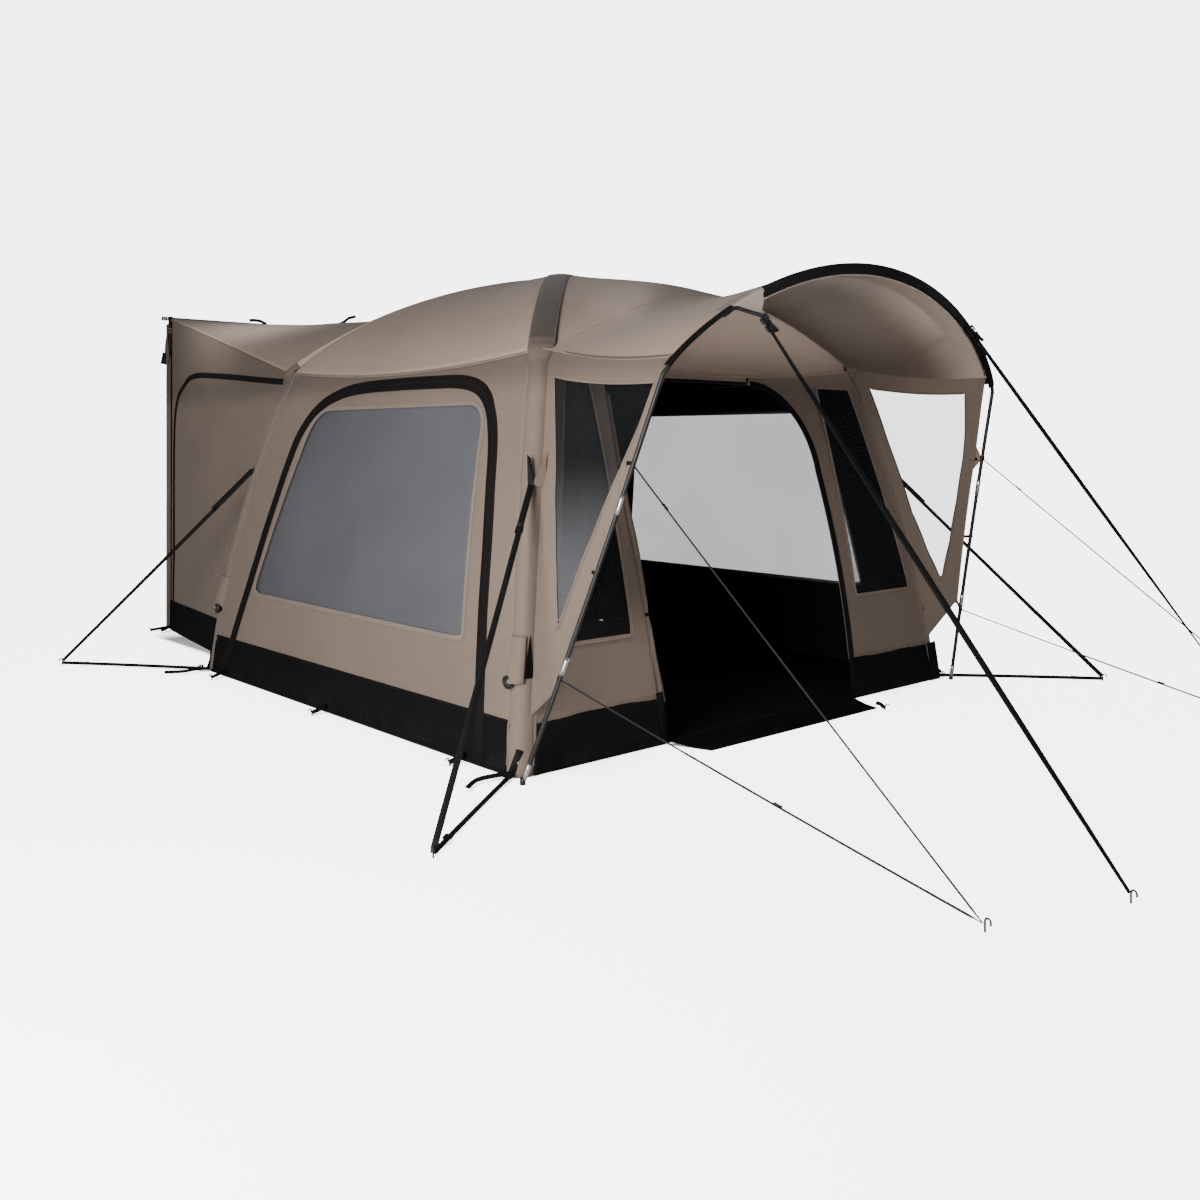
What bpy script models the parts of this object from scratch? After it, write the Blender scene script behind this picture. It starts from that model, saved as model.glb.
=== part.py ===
"""Inflatable campervan awning: a square cabin on two crossing air beams, with an arched porch
on the front and a tall tunnel to the vehicle at the rear.

Metres, +Z up. The origin is on the ground in the middle of the cabin. The porch and its door
face -Y, the tunnel runs towards +Y, and the right side mirrors the left.
"""
import math

import bmesh
import bpy
from mathutils import Vector

GAP = 0.0003

# Cabin: half width and half depth on the ground and at the shoulders of the air beams
BASE_X = 1.63
BASE_Y = 1.63
SHOULDER_X = 1.235
SHOULDER_Y = 1.29
SHOULDER_Z = 1.90
CROWN_Z = 2.475
LEG_BOW = 0.05
LEG_TILT = 0.03
LEG_LEVELS = (0.0, 0.22, 0.50, 0.80, 1.10, 1.40, 1.65, 1.90)
ROOF_CURVE = 0.92
BEAM_HALF = 0.06
BEAM_DEPTH = 0.11
BEAM_CROWN = 0.012
CORNER_ROUND = 0.05
HUB_SHARE = 0.10
RIM_REACH = 1.0025

# Cloth is modelled thicker than the real one
CLOTH = 0.012
FILM = 0.005
FILM_INSET = 0.003
SKIRT_Z = 0.22

# Roof panels: height of the middle of each panel over the shoulders and half way up
SIDE_SAG = 0.07
FRONT_ARC = 0.32
REAR_ARC = 0.43
FRONT_ARC_POWER = 1.5
REAR_ARC_POWER = 1.15
FRONT_HALFWAY_DROP = 0.03
DOOR_SEAM_SAG = 0.085

# Left wall window
WINDOW_LOW = 0.53
WINDOW_HIGH = 1.62
WINDOW_FRONT_LOW = -1.10
WINDOW_REAR_LOW = 1.12
WINDOW_FRONT_HIGH = -0.93
WINDOW_REAR_HIGH = 0.66
WINDOW_ROUND_FRONT = 0.12
WINDOW_ROUND_REAR = 0.20

# Front wall: a door that is upright at the left and round at the right, and a window at each side
DOOR_TOP_Z = 1.77
DOOR_ROUND_X = 0.20
DOOR_ROUND_Z = 1.28
DOOR_RIGHT_LOW = 0.745
DOOR_RIGHT_HIGH = 0.655
DOOR_LEFT_LOW = 0.745
DOOR_LEFT_HIGH = 0.868
DOOR_LEFT_BEND_Z = 1.15
FRONT_WINDOW_LOW = 0.57
FRONT_WINDOW_HIGH = {"left": 1.755, "right": 1.775}
FRONT_WINDOW_DOOR_LOW = {"left": 0.905, "right": 0.866}
FRONT_WINDOW_DOOR_HIGH = {"left": 0.962, "right": 0.805}
FRONT_WINDOW_MARGIN = 0.07
ROLL_LOW_Z = 0.20
ROLL_TOP_Z = 1.70
ROLL_RADIUS_LOW = 0.065
ROLL_RADIUS_HIGH = 0.05
FLAP_HALF = 0.735
FLAP_DEPTH = 0.23

# Porch arch: a pole in a plane that leans forward, from foot to shoulder and over the top
ARCH_FOOT_X = 1.66
ARCH_FOOT_Y = -1.694
ARCH_LEAN = 0.267
ARCH_SHOULDER_X = 1.31
ARCH_SHOULDER_Z = 1.73
ARCH_TOP_Z = 2.295
ARCH_POWER = 0.78
ARCH_RADIUS = 0.011
ARCH_BOW = 0.0155
ARCH_SKEW = 0.03

# Wing between the front air beam and the arch leg
WING_FOOT_Z = 0.24
WING_SEAT = 0.055
WING_BOW = 0.05
WING_CLEAR = 0.022

# Tunnel to the vehicle
TUNNEL_REAR_X = 1.19
TUNNEL_REAR_Y = 3.35
TUNNEL_TOP_Z = 2.41
TUNNEL_FRONT_X = 1.42
TUNNEL_FRONT_TOP_X = 1.17
LINK_POLE_RADIUS = 0.015
LINK_POLE_HALF = 1.25

# Storm straps, guys and pegs
ANCHOR_Z = 1.28
STRAP_WIDE = 0.025
STRAP_THICK = 0.004
STRAP_SEAT = 0.0045
GUY_RADIUS = 0.0025
PEG_RADIUS = 0.004
PEG_HEIGHT = 0.045
PEGS = {
    "front_left": (-2.43, -2.18),
    "front_right": (2.30, -2.34),
    "rear_left": (-2.27, 2.40),
    "rear_right": (2.27, 2.40),
}
CANOPY_PEGS = {"left": (-1.006, -3.983), "right": (0.85, -3.86)}
CANOPY_STRAP_X = 0.7975
CANOPY_STRAP_SEATS = {"left": 0.0054, "right": 0.0039}
GUY_PEG = (1.549, -3.792)
GUY_HIGH_Z = 1.36
GUY_LOW_Z = 0.45

DIAGONAL = math.hypot(SHOULDER_X, SHOULDER_Y)
LEG_IN_X = BEAM_HALF * DIAGONAL / SHOULDER_Y
LEG_IN_Y = BEAM_HALF * DIAGONAL / SHOULDER_X


def clear_scene():
    for item in list(bpy.data.objects):
        bpy.data.objects.remove(item, do_unlink=True)


def make_material(name, colour, roughness=0.8, metallic=0.0, alpha=1.0):
    material = bpy.data.materials.new(name)
    material.use_nodes = True
    shader = material.node_tree.nodes["Principled BSDF"]
    shader.inputs["Base Color"].default_value = (*colour, 1.0)
    shader.inputs["Roughness"].default_value = roughness
    shader.inputs["Metallic"].default_value = metallic
    shader.inputs["Alpha"].default_value = alpha
    return material


TAUPE = (0.27, 0.225, 0.19)
DARK_TAUPE = (0.10, 0.088, 0.075)
BLACK_CLOTH = (0.012, 0.012, 0.014)
CLEAR_FILM = (0.55, 0.57, 0.58)


def add_object(name, mesh_data, colour, roughness=0.8, metallic=0.0, alpha=1.0):
    """Turns a bmesh into a named object with a material of its own."""
    bmesh.ops.recalc_face_normals(mesh_data, faces=mesh_data.faces[:])
    mesh = bpy.data.meshes.new(name)
    mesh_data.to_mesh(mesh)
    mesh_data.free()
    item = bpy.data.objects.new(name, mesh)
    bpy.context.scene.collection.objects.link(item)
    item.data.materials.append(make_material(name, colour, roughness, metallic, alpha))
    return item


def mirror_x(points):
    return [Vector((-p[0], p[1], p[2])) for p in points]


def side_points(grid, side):
    """Keeps a grid of points, or its mirror image for the right side."""
    if side < 0:
        return grid
    return [mirror_x(row) for row in grid]


def sheet(outer, inner):
    """A closed solid between two equal grids of points, the outer and the inner face."""
    mesh = bmesh.new()
    rows = len(outer)
    columns = len(outer[0])
    top = [[mesh.verts.new(p) for p in row] for row in outer]
    low = [[mesh.verts.new(p) for p in row] for row in inner]
    for i in range(rows - 1):
        for j in range(columns - 1):
            mesh.faces.new((top[i][j], top[i][j + 1], top[i + 1][j + 1], top[i + 1][j]))
            mesh.faces.new((low[i][j], low[i + 1][j], low[i + 1][j + 1], low[i][j + 1]))
    for j in range(columns - 1):
        for i in (0, rows - 1):
            mesh.faces.new((top[i][j], top[i][j + 1], low[i][j + 1], low[i][j]))
    for i in range(rows - 1):
        for j in (0, columns - 1):
            mesh.faces.new((top[i][j], top[i + 1][j], low[i + 1][j], low[i][j]))
    return mesh


def offset_grid(grid, offset):
    shift = Vector(offset)
    return [[Vector(p) + shift for p in row] for row in grid]


def loft(rings):
    """A closed solid through rings of equally many points, with flat ends."""
    mesh = bmesh.new()
    loops = [[mesh.verts.new(p) for p in ring] for ring in rings]
    count = len(rings[0])
    for low, high in zip(loops, loops[1:]):
        for k in range(count):
            mesh.faces.new((low[k], low[(k + 1) % count], high[(k + 1) % count], high[k]))
    mesh.faces.new(loops[0])
    mesh.faces.new(loops[-1])
    return mesh


def ribbon(start, stop):
    """A flat strap from one point to another, lying flat across its run."""
    along = (stop - start).normalized()
    flat = Vector((-along.y, along.x, 0.0)).normalized() * STRAP_WIDE / 2
    up = along.cross(flat).normalized() * STRAP_THICK / 2
    return loft([[point - flat - up, point + flat - up, point + flat + up, point - flat + up]
                 for point in (start, stop)])


def bowed(base, shoulder, z):
    """Distance of the cabin's corner from the middle, in straight steps between the levels."""
    def at(level):
        share = level / SHOULDER_Z
        return base + (shoulder - base) * share + 4.0 * LEG_BOW * share * (1.0 - share)

    for low, high in zip(LEG_LEVELS, LEG_LEVELS[1:]):
        if z <= high or high == LEG_LEVELS[-1]:
            return at(low) + (at(high) - at(low)) * (z - low) / (high - low)


def corner_x(z):
    return bowed(BASE_X, SHOULDER_X, z)


def corner_y(z):
    return bowed(BASE_Y, SHOULDER_Y, z)


def wall_levels(low, high):
    """Heights up a wall's edge: the corner's levels and the middles between them."""
    steps = [low] + [level for level in LEG_LEVELS if low < level < high] + [high]
    levels = []
    for a, b in zip(steps, steps[1:]):
        levels += [a, (a + b) / 2]
    return levels + [high]


def along_levels(low, high, share):
    """Height at a share of the way up the wall's edge, counted in its steps."""
    levels = wall_levels(low, high)
    place = share * (len(levels) - 1)
    index = min(int(place + 1e-6), len(levels) - 2)
    return levels[index] + (levels[index + 1] - levels[index]) * (place - index)


def beam_height(share):
    """Height of the air beam's top line, from the shoulder (0) to the crown (1)."""
    rest = 1.0 - min(1.0, max(0.0, share))
    return SHOULDER_Z + (CROWN_Z - SHOULDER_Z) * (1.0 - rest * rest) ** ROOF_CURVE


def side_seam(y):
    return SHOULDER_Z - SIDE_SAG * (1.0 - (y / SHOULDER_Y) ** 2)


def front_seam(x):
    return SHOULDER_Z - DOOR_SEAM_SAG * (1.0 - (x / SHOULDER_X) ** 2)


def front_arc(x):
    return SHOULDER_Z + FRONT_ARC * max(0.0, 1.0 - (x / SHOULDER_X) ** 2) ** FRONT_ARC_POWER


def rear_arc(x):
    return SHOULDER_Z + REAR_ARC * max(0.0, 1.0 - (x / SHOULDER_X) ** 2) ** REAR_ARC_POWER


def linspace(start, stop, count):
    return [start + (stop - start) * k / (count - 1) for k in range(count)]


# Air beams

def leg_section():
    """Section of a leg: x and y inwards from the cabin's corner, from the side wall round."""
    turn = CORNER_ROUND * (1.0 - math.sqrt(0.5))
    return [(0.0, LEG_IN_Y), (0.0, CORNER_ROUND), (turn, turn), (CORNER_ROUND, 0.0),
            (LEG_IN_X, 0.0), (LEG_IN_X, 0.03), (LEG_IN_X, LEG_IN_Y - 0.03),
            (LEG_IN_X - 0.03, LEG_IN_Y), (0.03, LEG_IN_Y)]


def roof_section():
    """Section of a beam over the roof: sideways and upwards from its top line."""
    half = BEAM_HALF
    return [(-half, 0.0), (-half * 0.6, BEAM_CROWN * 0.7), (0.0, BEAM_CROWN),
            (half * 0.6, BEAM_CROWN * 0.7), (half, 0.0), (half, -BEAM_DEPTH + 0.03),
            (half * 0.5, -BEAM_DEPTH), (-half * 0.5, -BEAM_DEPTH), (-half, -BEAM_DEPTH + 0.03)]


def beam(name, sign_x, sign_y):
    rings = []
    section = leg_section()
    for z in LEG_LEVELS:
        ring = []
        for a, b in section:
            tilt = LEG_TILT * min(a, b) / LEG_IN_X if z == SHOULDER_Z else 0.0
            level = z - tilt
            ring.append((sign_x * (corner_x(level) - a), sign_y * (corner_y(level) - b), level))
        rings.append(ring)
    inward = Vector((-sign_x * SHOULDER_X, -sign_y * SHOULDER_Y, 0.0)) / DIAGONAL
    # Sideways runs from the side wall's edge to the front or rear wall's edge
    sideways = Vector((-sign_x * SHOULDER_Y, sign_y * SHOULDER_X, 0.0)) / DIAGONAL
    first = BEAM_HALF * SHOULDER_Y / SHOULDER_X / DIAGONAL
    other = BEAM_HALF * SHOULDER_X / SHOULDER_Y / DIAGONAL
    hub_side = HUB_SHARE - first
    hub_front = HUB_SHARE - other
    for share in (0.0, 0.06, 0.14, 0.26, 0.40, 0.58, 0.80, 1.0):
        ring = []
        for sideways_by, up_by in roof_section():
            lean = sideways_by / BEAM_HALF
            start = (first + other) / 2 + (other - first) / 2 * lean
            stop = 1.0 - (hub_side + hub_front) / 2 - (hub_front - hub_side) / 2 * lean
            stop -= 0.0006 / DIAGONAL
            place = start + (stop - start) * share
            step = 0.01
            rise = (beam_height(place + step) - beam_height(place - step)) / (2 * step * DIAGONAL)
            slope = math.atan(rise) * (1.0 - share) ** 0.5
            run = place * DIAGONAL - up_by * math.sin(slope)
            point = Vector((sign_x * SHOULDER_X, sign_y * SHOULDER_Y, beam_height(place)))
            point += inward * run + sideways * sideways_by
            point.z += up_by * math.cos(slope)
            ring.append(point)
        rings.append(ring)
    add_object(name, loft(rings), DARK_TAUPE)


def crown_hub():
    """Eight-sided crossing where the two air beams meet."""
    hub_x = SHOULDER_X * HUB_SHARE - GAP
    hub_y = SHOULDER_Y * HUB_SHARE - GAP
    flat_x = SHOULDER_X * HUB_SHARE - LEG_IN_X
    flat_y = SHOULDER_Y * HUB_SHARE - LEG_IN_Y
    outline = [(hub_x, -flat_y), (hub_x, flat_y), (flat_x, hub_y), (-flat_x, hub_y),
               (-hub_x, flat_y), (-hub_x, -flat_y), (-flat_x, -hub_y), (flat_x, -hub_y)]
    low = [(x, y, CROWN_Z - BEAM_DEPTH) for x, y in outline]
    high = [(x, y, CROWN_Z + 0.004) for x, y in outline]
    peak = [(x * 0.5, y * 0.5, CROWN_Z + BEAM_CROWN) for x, y in outline]
    add_object("crown_hub", loft([low, high, peak]), DARK_TAUPE)


# Roof panels

def panel_height(share, edge_corner, middle_rim, middle_half_drop, shape, station):
    """Height over a roof panel at one distance from the crown, 0 to 1 at the rim."""
    edge = beam_height(station)
    rim_drop = beam_height(station + share - 1.0) - edge_corner
    blend = share ** 6
    edge = edge - rim_drop * blend - 0.008 * (1.0 - blend)
    rim_rise = middle_rim - edge_corner
    rise = rim_rise * share ** 2 - middle_half_drop * 4.0 * share * (1.0 - share)
    return edge + rise * shape


def side_panel_grid():
    rows = []
    inset = LEG_IN_Y + GAP * 1.6
    corner = side_seam(SHOULDER_Y - inset)
    for share in linspace(1.0, HUB_SHARE, 9):
        row = []
        for across in linspace(-1.0, 1.0, 13):
            y = across * (SHOULDER_Y * share - inset)
            shape = 1.0 - across * across
            station = 1.0 - share + BEAM_HALF * SHOULDER_Y / SHOULDER_X / DIAGONAL
            z = panel_height(share, corner, side_seam(0.0), 0.0, shape, station)
            rim_out = corner_x(side_seam(y)) - SHOULDER_X
            row.append(Vector((-SHOULDER_X * share - rim_out * share ** 6, y, z)))
        rows.append(row)
    return rows


def end_panel_grid(arc, sign_y, half_drop):
    """Front or rear roof panel between the beams, up to the arc over the shoulders."""
    rows = []
    inset = LEG_IN_X + GAP * 1.6
    edge_x = SHOULDER_X - inset
    for share in linspace(RIM_REACH, HUB_SHARE, 9):
        row = []
        for across in linspace(-1.0, 1.0, 17):
            x = across * (SHOULDER_X * share - inset)
            shape = (arc(across * edge_x) - arc(edge_x)) / (arc(0.0) - arc(edge_x))
            station = 1.0 - share + BEAM_HALF * SHOULDER_X / SHOULDER_Y / DIAGONAL
            z = panel_height(min(share, 1.0), arc(edge_x), arc(0.0), half_drop, shape, station)
            row.append(Vector((x, sign_y * SHOULDER_Y * share, z)))
        rows.append(row)
    return rows


def roof_panels():
    down = (0.0, 0.0, -CLOTH)
    for side, name in ((-1, "roof_left"), (1, "roof_right")):
        grid = side_points(side_panel_grid(), side)
        add_object(name, sheet(grid, offset_grid(grid, down)), TAUPE)
    grid = end_panel_grid(front_arc, -1, FRONT_HALFWAY_DROP)
    add_object("roof_front", sheet(grid, offset_grid(grid, down)), TAUPE)
    grid = end_panel_grid(rear_arc, 1, 0.0)
    add_object("roof_rear", sheet(grid, offset_grid(grid, down)), TAUPE)


# Porch arch and canopy

def arch_x(z):
    return ARCH_FOOT_X - (ARCH_FOOT_X - ARCH_SHOULDER_X + ARCH_BOW * ARCH_SHOULDER_Z ** 2) \
        * z / ARCH_SHOULDER_Z + ARCH_BOW * z * z


def arch_y(z):
    return ARCH_FOOT_Y - ARCH_LEAN * z


def arch_top(x):
    """Height of the arch over the porch, at a distance from the middle."""
    share = max(0.0, 1.0 - (x / ARCH_SHOULDER_X) ** 2)
    return ARCH_SHOULDER_Z + (ARCH_TOP_Z - ARCH_SHOULDER_Z) * share ** ARCH_POWER


def arch_skew(z):
    """Both legs of the arch lean a little to the right."""
    return ARCH_SKEW * min(1.0, z / ARCH_SHOULDER_Z)


def arch_path():
    left = [Vector((-arch_x(z), arch_y(z), z)) for z in linspace(0.0, ARCH_SHOULDER_Z, 6)]
    top = []
    for angle in linspace(0.0, math.pi, 25)[1:-1]:
        x = -ARCH_SHOULDER_X * math.cos(angle)
        z = arch_top(x)
        top.append(Vector((x, arch_y(z), z)))
    path = left + top + [Vector((-p.x, p.y, p.z)) for p in reversed(left)]
    return [Vector((p.x + arch_skew(p.z), p.y, p.z)) for p in path]


def arch_pole():
    path = arch_path()
    rings = []
    plane = Vector((0.0, -1.0, -ARCH_LEAN)).normalized()
    for index, point in enumerate(path):
        before = path[max(0, index - 1)]
        after = path[min(len(path) - 1, index + 1)]
        along = (after - before).normalized()
        outward = along.cross(plane).normalized()
        normal = outward.cross(along)
        ring = []
        for k in range(8):
            angle = 2.0 * math.pi * (k + 0.5) / 8
            spoke = outward * math.cos(angle) + normal * math.sin(angle)
            spot = point + spoke * ARCH_RADIUS
            if index in (0, len(path) - 1):
                spot.z = 0.0
            ring.append(spot)
        rings.append(ring)
    add_object("arch_pole", loft(rings), BLACK_CLOTH, 0.5)


def canopy_grid():
    rows = []
    start_y = -(SHOULDER_Y + 0.004)
    for v in linspace(0.0, 1.0, 8):
        row = []
        for angle in linspace(0.0, math.pi, 25):
            across = -math.cos(angle)
            back = Vector((SHOULDER_X * across, start_y, front_arc(SHOULDER_X * across)))
            reach = ARCH_SHOULDER_X * across
            z = arch_top(reach)
            # The front edge stops just behind the pole
            clear = ARCH_RADIUS - GAP + CLOTH * ARCH_LEAN
            front = Vector((reach + arch_skew(z), arch_y(z) + clear / math.cos(math.atan(ARCH_LEAN)), z))
            point = back.lerp(front, v)
            point.z -= 0.03 * math.sin(math.pi * v) * (1.0 - across * across)
            row.append(point)
        rows.append(row)
    return rows


def porch_canopy():
    grid = canopy_grid()
    add_object("porch_canopy", sheet(grid, offset_grid(grid, (0.0, 0.0, -CLOTH))), TAUPE)


def front_gable():
    """Upright panel over the door, from the front wall's seam to the roof's underside."""
    half = SHOULDER_X - LEG_IN_X - 0.10
    grid = []
    panel = end_panel_grid(front_arc, -1, FRONT_HALFWAY_DROP)
    back_share = (SHOULDER_Y - 0.002 - CLOTH) / SHOULDER_Y
    step_share = (1.0 - HUB_SHARE) / 8
    for level in linspace(0.0, 1.0, 4):
        row = []
        for x in linspace(-half, half, 17):
            low = front_seam(x)
            rim = front_arc(x)
            inner = min(rim, height_on(panel[1], x))
            mix = (1.0 - back_share) / step_share
            high = min(rim, rim + (inner - rim) * mix) - CLOTH - 2 * GAP
            z = low + (high - low) * level
            y_low = corner_y(low)
            y = y_low + (SHOULDER_Y - 0.002 - y_low) * level
            row.append(Vector((x, -y, z)))
        grid.append(row)
    add_object("front_gable", sheet(grid, offset_grid(grid, (0.0, CLOTH, 0.0))), TAUPE)


def height_on(row, x):
    """Height of a row of points at one x, by straight steps."""
    for a, b in zip(row, row[1:]):
        if a.x <= x <= b.x:
            return a.z + (b.z - a.z) * (x - a.x) / (b.x - a.x)
    return row[-1].z


# Walls with windows

def rounded_sides(corners, radii, count):
    """Sides of a polygon with round corners, each from mid corner to mid corner."""
    size = len(corners)
    arcs = []
    for k in range(size):
        here = Vector(corners[k])
        back = (Vector(corners[k - 1]) - here).normalized()
        ahead = (Vector(corners[(k + 1) % size]) - here).normalized()
        radius = radii[k]
        if radius <= 0.0:
            arcs.append([here])
            continue
        half = back.angle(ahead) / 2.0
        reach = radius / math.tan(half)
        start = here + back * reach
        stop = here + ahead * reach
        centre = here + (back + ahead).normalized() * radius / math.sin(half)
        arc = []
        for share in linspace(0.0, 1.0, 7):
            spoke = (start - centre).lerp(stop - centre, share).normalized()
            arc.append(centre + spoke * radius)
        arcs.append(arc)
    sides = []
    for k in range(size):
        first = arcs[k]
        second = arcs[(k + 1) % size]
        chain = first[len(first) // 2:] + second[:len(second) // 2 + 1]
        lengths = [0.0]
        for a, b in zip(chain, chain[1:]):
            lengths.append(lengths[-1] + (b - a).length)
        side = []
        for target in linspace(0.0, lengths[-1], count + 1)[:-1]:
            index = 0
            while index < len(chain) - 2 and lengths[index + 1] < target:
                index += 1
            span = lengths[index + 1] - lengths[index]
            side.append(chain[index].lerp(chain[index + 1], (target - lengths[index]) / span))
        sides.append(side)
    return sides


def ring_panel(outer, inner, place, offset):
    """A panel with an opening. The loops are flat (across, up) points; place makes them 3D."""
    mesh = bmesh.new()
    shift = Vector(offset)
    loops = []
    for share in (0.0, 0.5, 1.0):
        flat = [Vector(a).lerp(Vector(b), share) for a, b in zip(outer, inner)]
        face = [mesh.verts.new(place(p[0], p[1])) for p in flat]
        back = [mesh.verts.new(place(p[0], p[1]) + shift) for p in flat]
        loops.append((face, back))
    count = len(outer)
    for (face_a, back_a), (face_b, back_b) in zip(loops, loops[1:]):
        for k in range(count):
            n = (k + 1) % count
            mesh.faces.new((face_a[k], face_a[n], face_b[n], face_b[k]))
            mesh.faces.new((back_a[k], back_b[k], back_b[n], back_a[n]))
    for face, back in (loops[0], loops[-1]):
        for k in range(count):
            n = (k + 1) % count
            mesh.faces.new((face[k], face[n], back[n], back[k]))
    return mesh


def film_panel(loop, place, inset, thickness_dir):
    """Clear film that fills a window opening, set a little behind the wall's outer face."""
    mesh = bmesh.new()
    centre = sum((Vector(p) for p in loop), Vector((0.0, 0.0))) / len(loop)
    direction = Vector(thickness_dir)
    faces = []
    for scale in (1.0, 0.5):
        flat = []
        for p in loop:
            away = Vector(p) - centre
            away *= scale * (1.0 - 1.5 * GAP / away.length)
            flat.append(centre + away)
        near = [mesh.verts.new(place(p[0], p[1]) + direction * inset) for p in flat]
        far = [mesh.verts.new(place(p[0], p[1]) + direction * (inset + FILM)) for p in flat]
        faces.append((near, far))
    count = len(loop)
    (near_a, far_a), (near_b, far_b) = faces
    middle = place(centre[0], centre[1])
    near_c = mesh.verts.new(middle + direction * inset)
    far_c = mesh.verts.new(middle + direction * (inset + FILM))
    for k in range(count):
        n = (k + 1) % count
        mesh.faces.new((near_a[k], near_a[n], near_b[n], near_b[k]))
        mesh.faces.new((far_a[k], far_b[k], far_b[n], far_a[n]))
        mesh.faces.new((near_b[k], near_b[n], near_c))
        mesh.faces.new((far_b[k], far_c, far_b[n]))
        mesh.faces.new((near_a[k], far_a[k], far_a[n], near_a[n]))
    return mesh


def chain_sides(corner_curves, count):
    """Outline from four curves, each a function of 0 to 1, without the last point."""
    loop = []
    for curve in corner_curves:
        loop += [curve(share) for share in linspace(0.0, 1.0, count + 1)[:-1]]
    return loop


def side_wall(side):
    """Side wall, its window and its skirt."""
    label = "left" if side < 0 else "right"

    def place(y, z):
        return Vector((side * corner_x(z), y, z))

    inward = (-side * CLOTH, 0.0, 0.0)
    low = SKIRT_Z + GAP

    def edge_y(z):
        return corner_y(z) - LEG_IN_Y - GAP

    def top_z(y):
        return side_seam(y) - CLOTH - 2 * GAP

    top_edge = SHOULDER_Y - LEG_IN_Y - GAP

    def bottom(t):
        return (-edge_y(low) + 2 * edge_y(low) * t, low)

    def rear(t):
        z = along_levels(low, top_z(top_edge), t)
        return (edge_y(z), z)

    def top(t):
        y = edge_y(top_z(top_edge)) * (1.0 - 2 * t)
        return (y, top_z(y))

    def front(t):
        z = along_levels(low, top_z(top_edge), 1.0 - t)
        return (-edge_y(z), z)

    outer = chain_sides((bottom, rear, top, front), 12)
    corners = [(WINDOW_FRONT_LOW, WINDOW_LOW), (WINDOW_REAR_LOW, WINDOW_LOW),
               (WINDOW_REAR_HIGH, WINDOW_HIGH), (WINDOW_FRONT_HIGH, WINDOW_HIGH)]
    sides = rounded_sides(corners, (0.0, 0.0, WINDOW_ROUND_REAR, WINDOW_ROUND_FRONT), 12)
    window = [point for chain in sides for point in chain]
    add_object(label + "_wall", ring_panel(outer, window, place, inward), TAUPE)
    film = film_panel(window, place, FILM_INSET, (-side, 0.0, 0.0))
    add_object(label + "_window", film, CLEAR_FILM, 0.2, 0.0, 0.5)

    grid = []
    for z in (0.0, SKIRT_Z):
        grid.append([place(y, z) for y in linspace(-edge_y(z), edge_y(z), 9)])
    add_object(label + "_skirt", sheet(grid, offset_grid(grid, inward)), BLACK_CLOTH)


def door_edge(z, side):
    """Distance of the door opening's edge from the middle, at a height."""
    if side < 0:
        share = min(1.0, z / DOOR_LEFT_BEND_Z)
        return DOOR_LEFT_LOW + (DOOR_LEFT_HIGH - DOOR_LEFT_LOW) * share
    if z <= DOOR_ROUND_Z:
        return DOOR_RIGHT_LOW + (DOOR_RIGHT_HIGH - DOOR_RIGHT_LOW) * (z / DOOR_ROUND_Z) ** 2
    share = (z - DOOR_ROUND_Z) / (DOOR_TOP_Z - DOOR_ROUND_Z)
    reach = math.sqrt(max(0.0, 1.0 - share * share))
    return DOOR_ROUND_X + (DOOR_RIGHT_HIGH - DOOR_ROUND_X) * reach


def front_wall(side):
    """Front wall beside the door, its window and its skirt."""
    label = "left" if side < 0 else "right"

    def place(x, z):
        return Vector((side * x, -corner_y(z), z))

    inward = (0.0, CLOTH, 0.0)
    low = SKIRT_Z + GAP
    door_top = DOOR_TOP_Z if side > 0 else front_seam(DOOR_LEFT_HIGH) - GAP

    def edge_x(z):
        return corner_x(z) - LEG_IN_X - GAP

    def top_z(x):
        return front_seam(x) - GAP

    top_edge = SHOULDER_X - LEG_IN_X - GAP

    def bottom(t):
        return (door_edge(low, side) + (edge_x(low) - door_edge(low, side)) * t, low)

    def outside(t):
        z = along_levels(low, top_z(top_edge), t)
        return (edge_x(z), z)

    def top(t):
        start = edge_x(top_z(top_edge))
        x = start + (door_edge(door_top, side) - start) * t
        return (x, top_z(x))

    def door(t):
        z = door_top + (low - door_top) * t
        if side > 0 and t > 0.0:
            # Even steps round the bend, then down to the skirt
            turn = min(1.0, t * 2.0) * math.pi / 2
            z = DOOR_ROUND_Z + (DOOR_TOP_Z - DOOR_ROUND_Z) * math.cos(turn)
            z -= max(0.0, t * 2.0 - 1.0) * (DOOR_ROUND_Z - low)
        return (door_edge(z, side), z)

    outer = chain_sides((bottom, outside, top, door), 12)

    def window_edge(z):
        return edge_x(z) - FRONT_WINDOW_MARGIN

    high = FRONT_WINDOW_HIGH[label]
    corners = [(FRONT_WINDOW_DOOR_LOW[label], FRONT_WINDOW_LOW),
               (window_edge(FRONT_WINDOW_LOW), FRONT_WINDOW_LOW),
               (window_edge(high), high),
               (FRONT_WINDOW_DOOR_HIGH[label], high)]
    sides = rounded_sides(corners, (0.0, 0.0, 0.0, 0.0), 12)
    window = [point for chain in sides for point in chain]
    add_object("front_wall_" + label, ring_panel(outer, window, place, inward), TAUPE)
    film = film_panel(window, place, FILM_INSET, (0.0, 1.0, 0.0))
    add_object("front_window_" + label, film, CLEAR_FILM, 0.2, 0.0, 0.4)

    grid = []
    for z in (0.0, SKIRT_Z):
        grid.append([place(x, z) for x in linspace(door_edge(z, side), edge_x(z), 5)])
    skirt = sheet(grid, offset_grid(grid, inward))
    add_object("front_skirt_" + label, skirt, BLACK_CLOTH)


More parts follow.
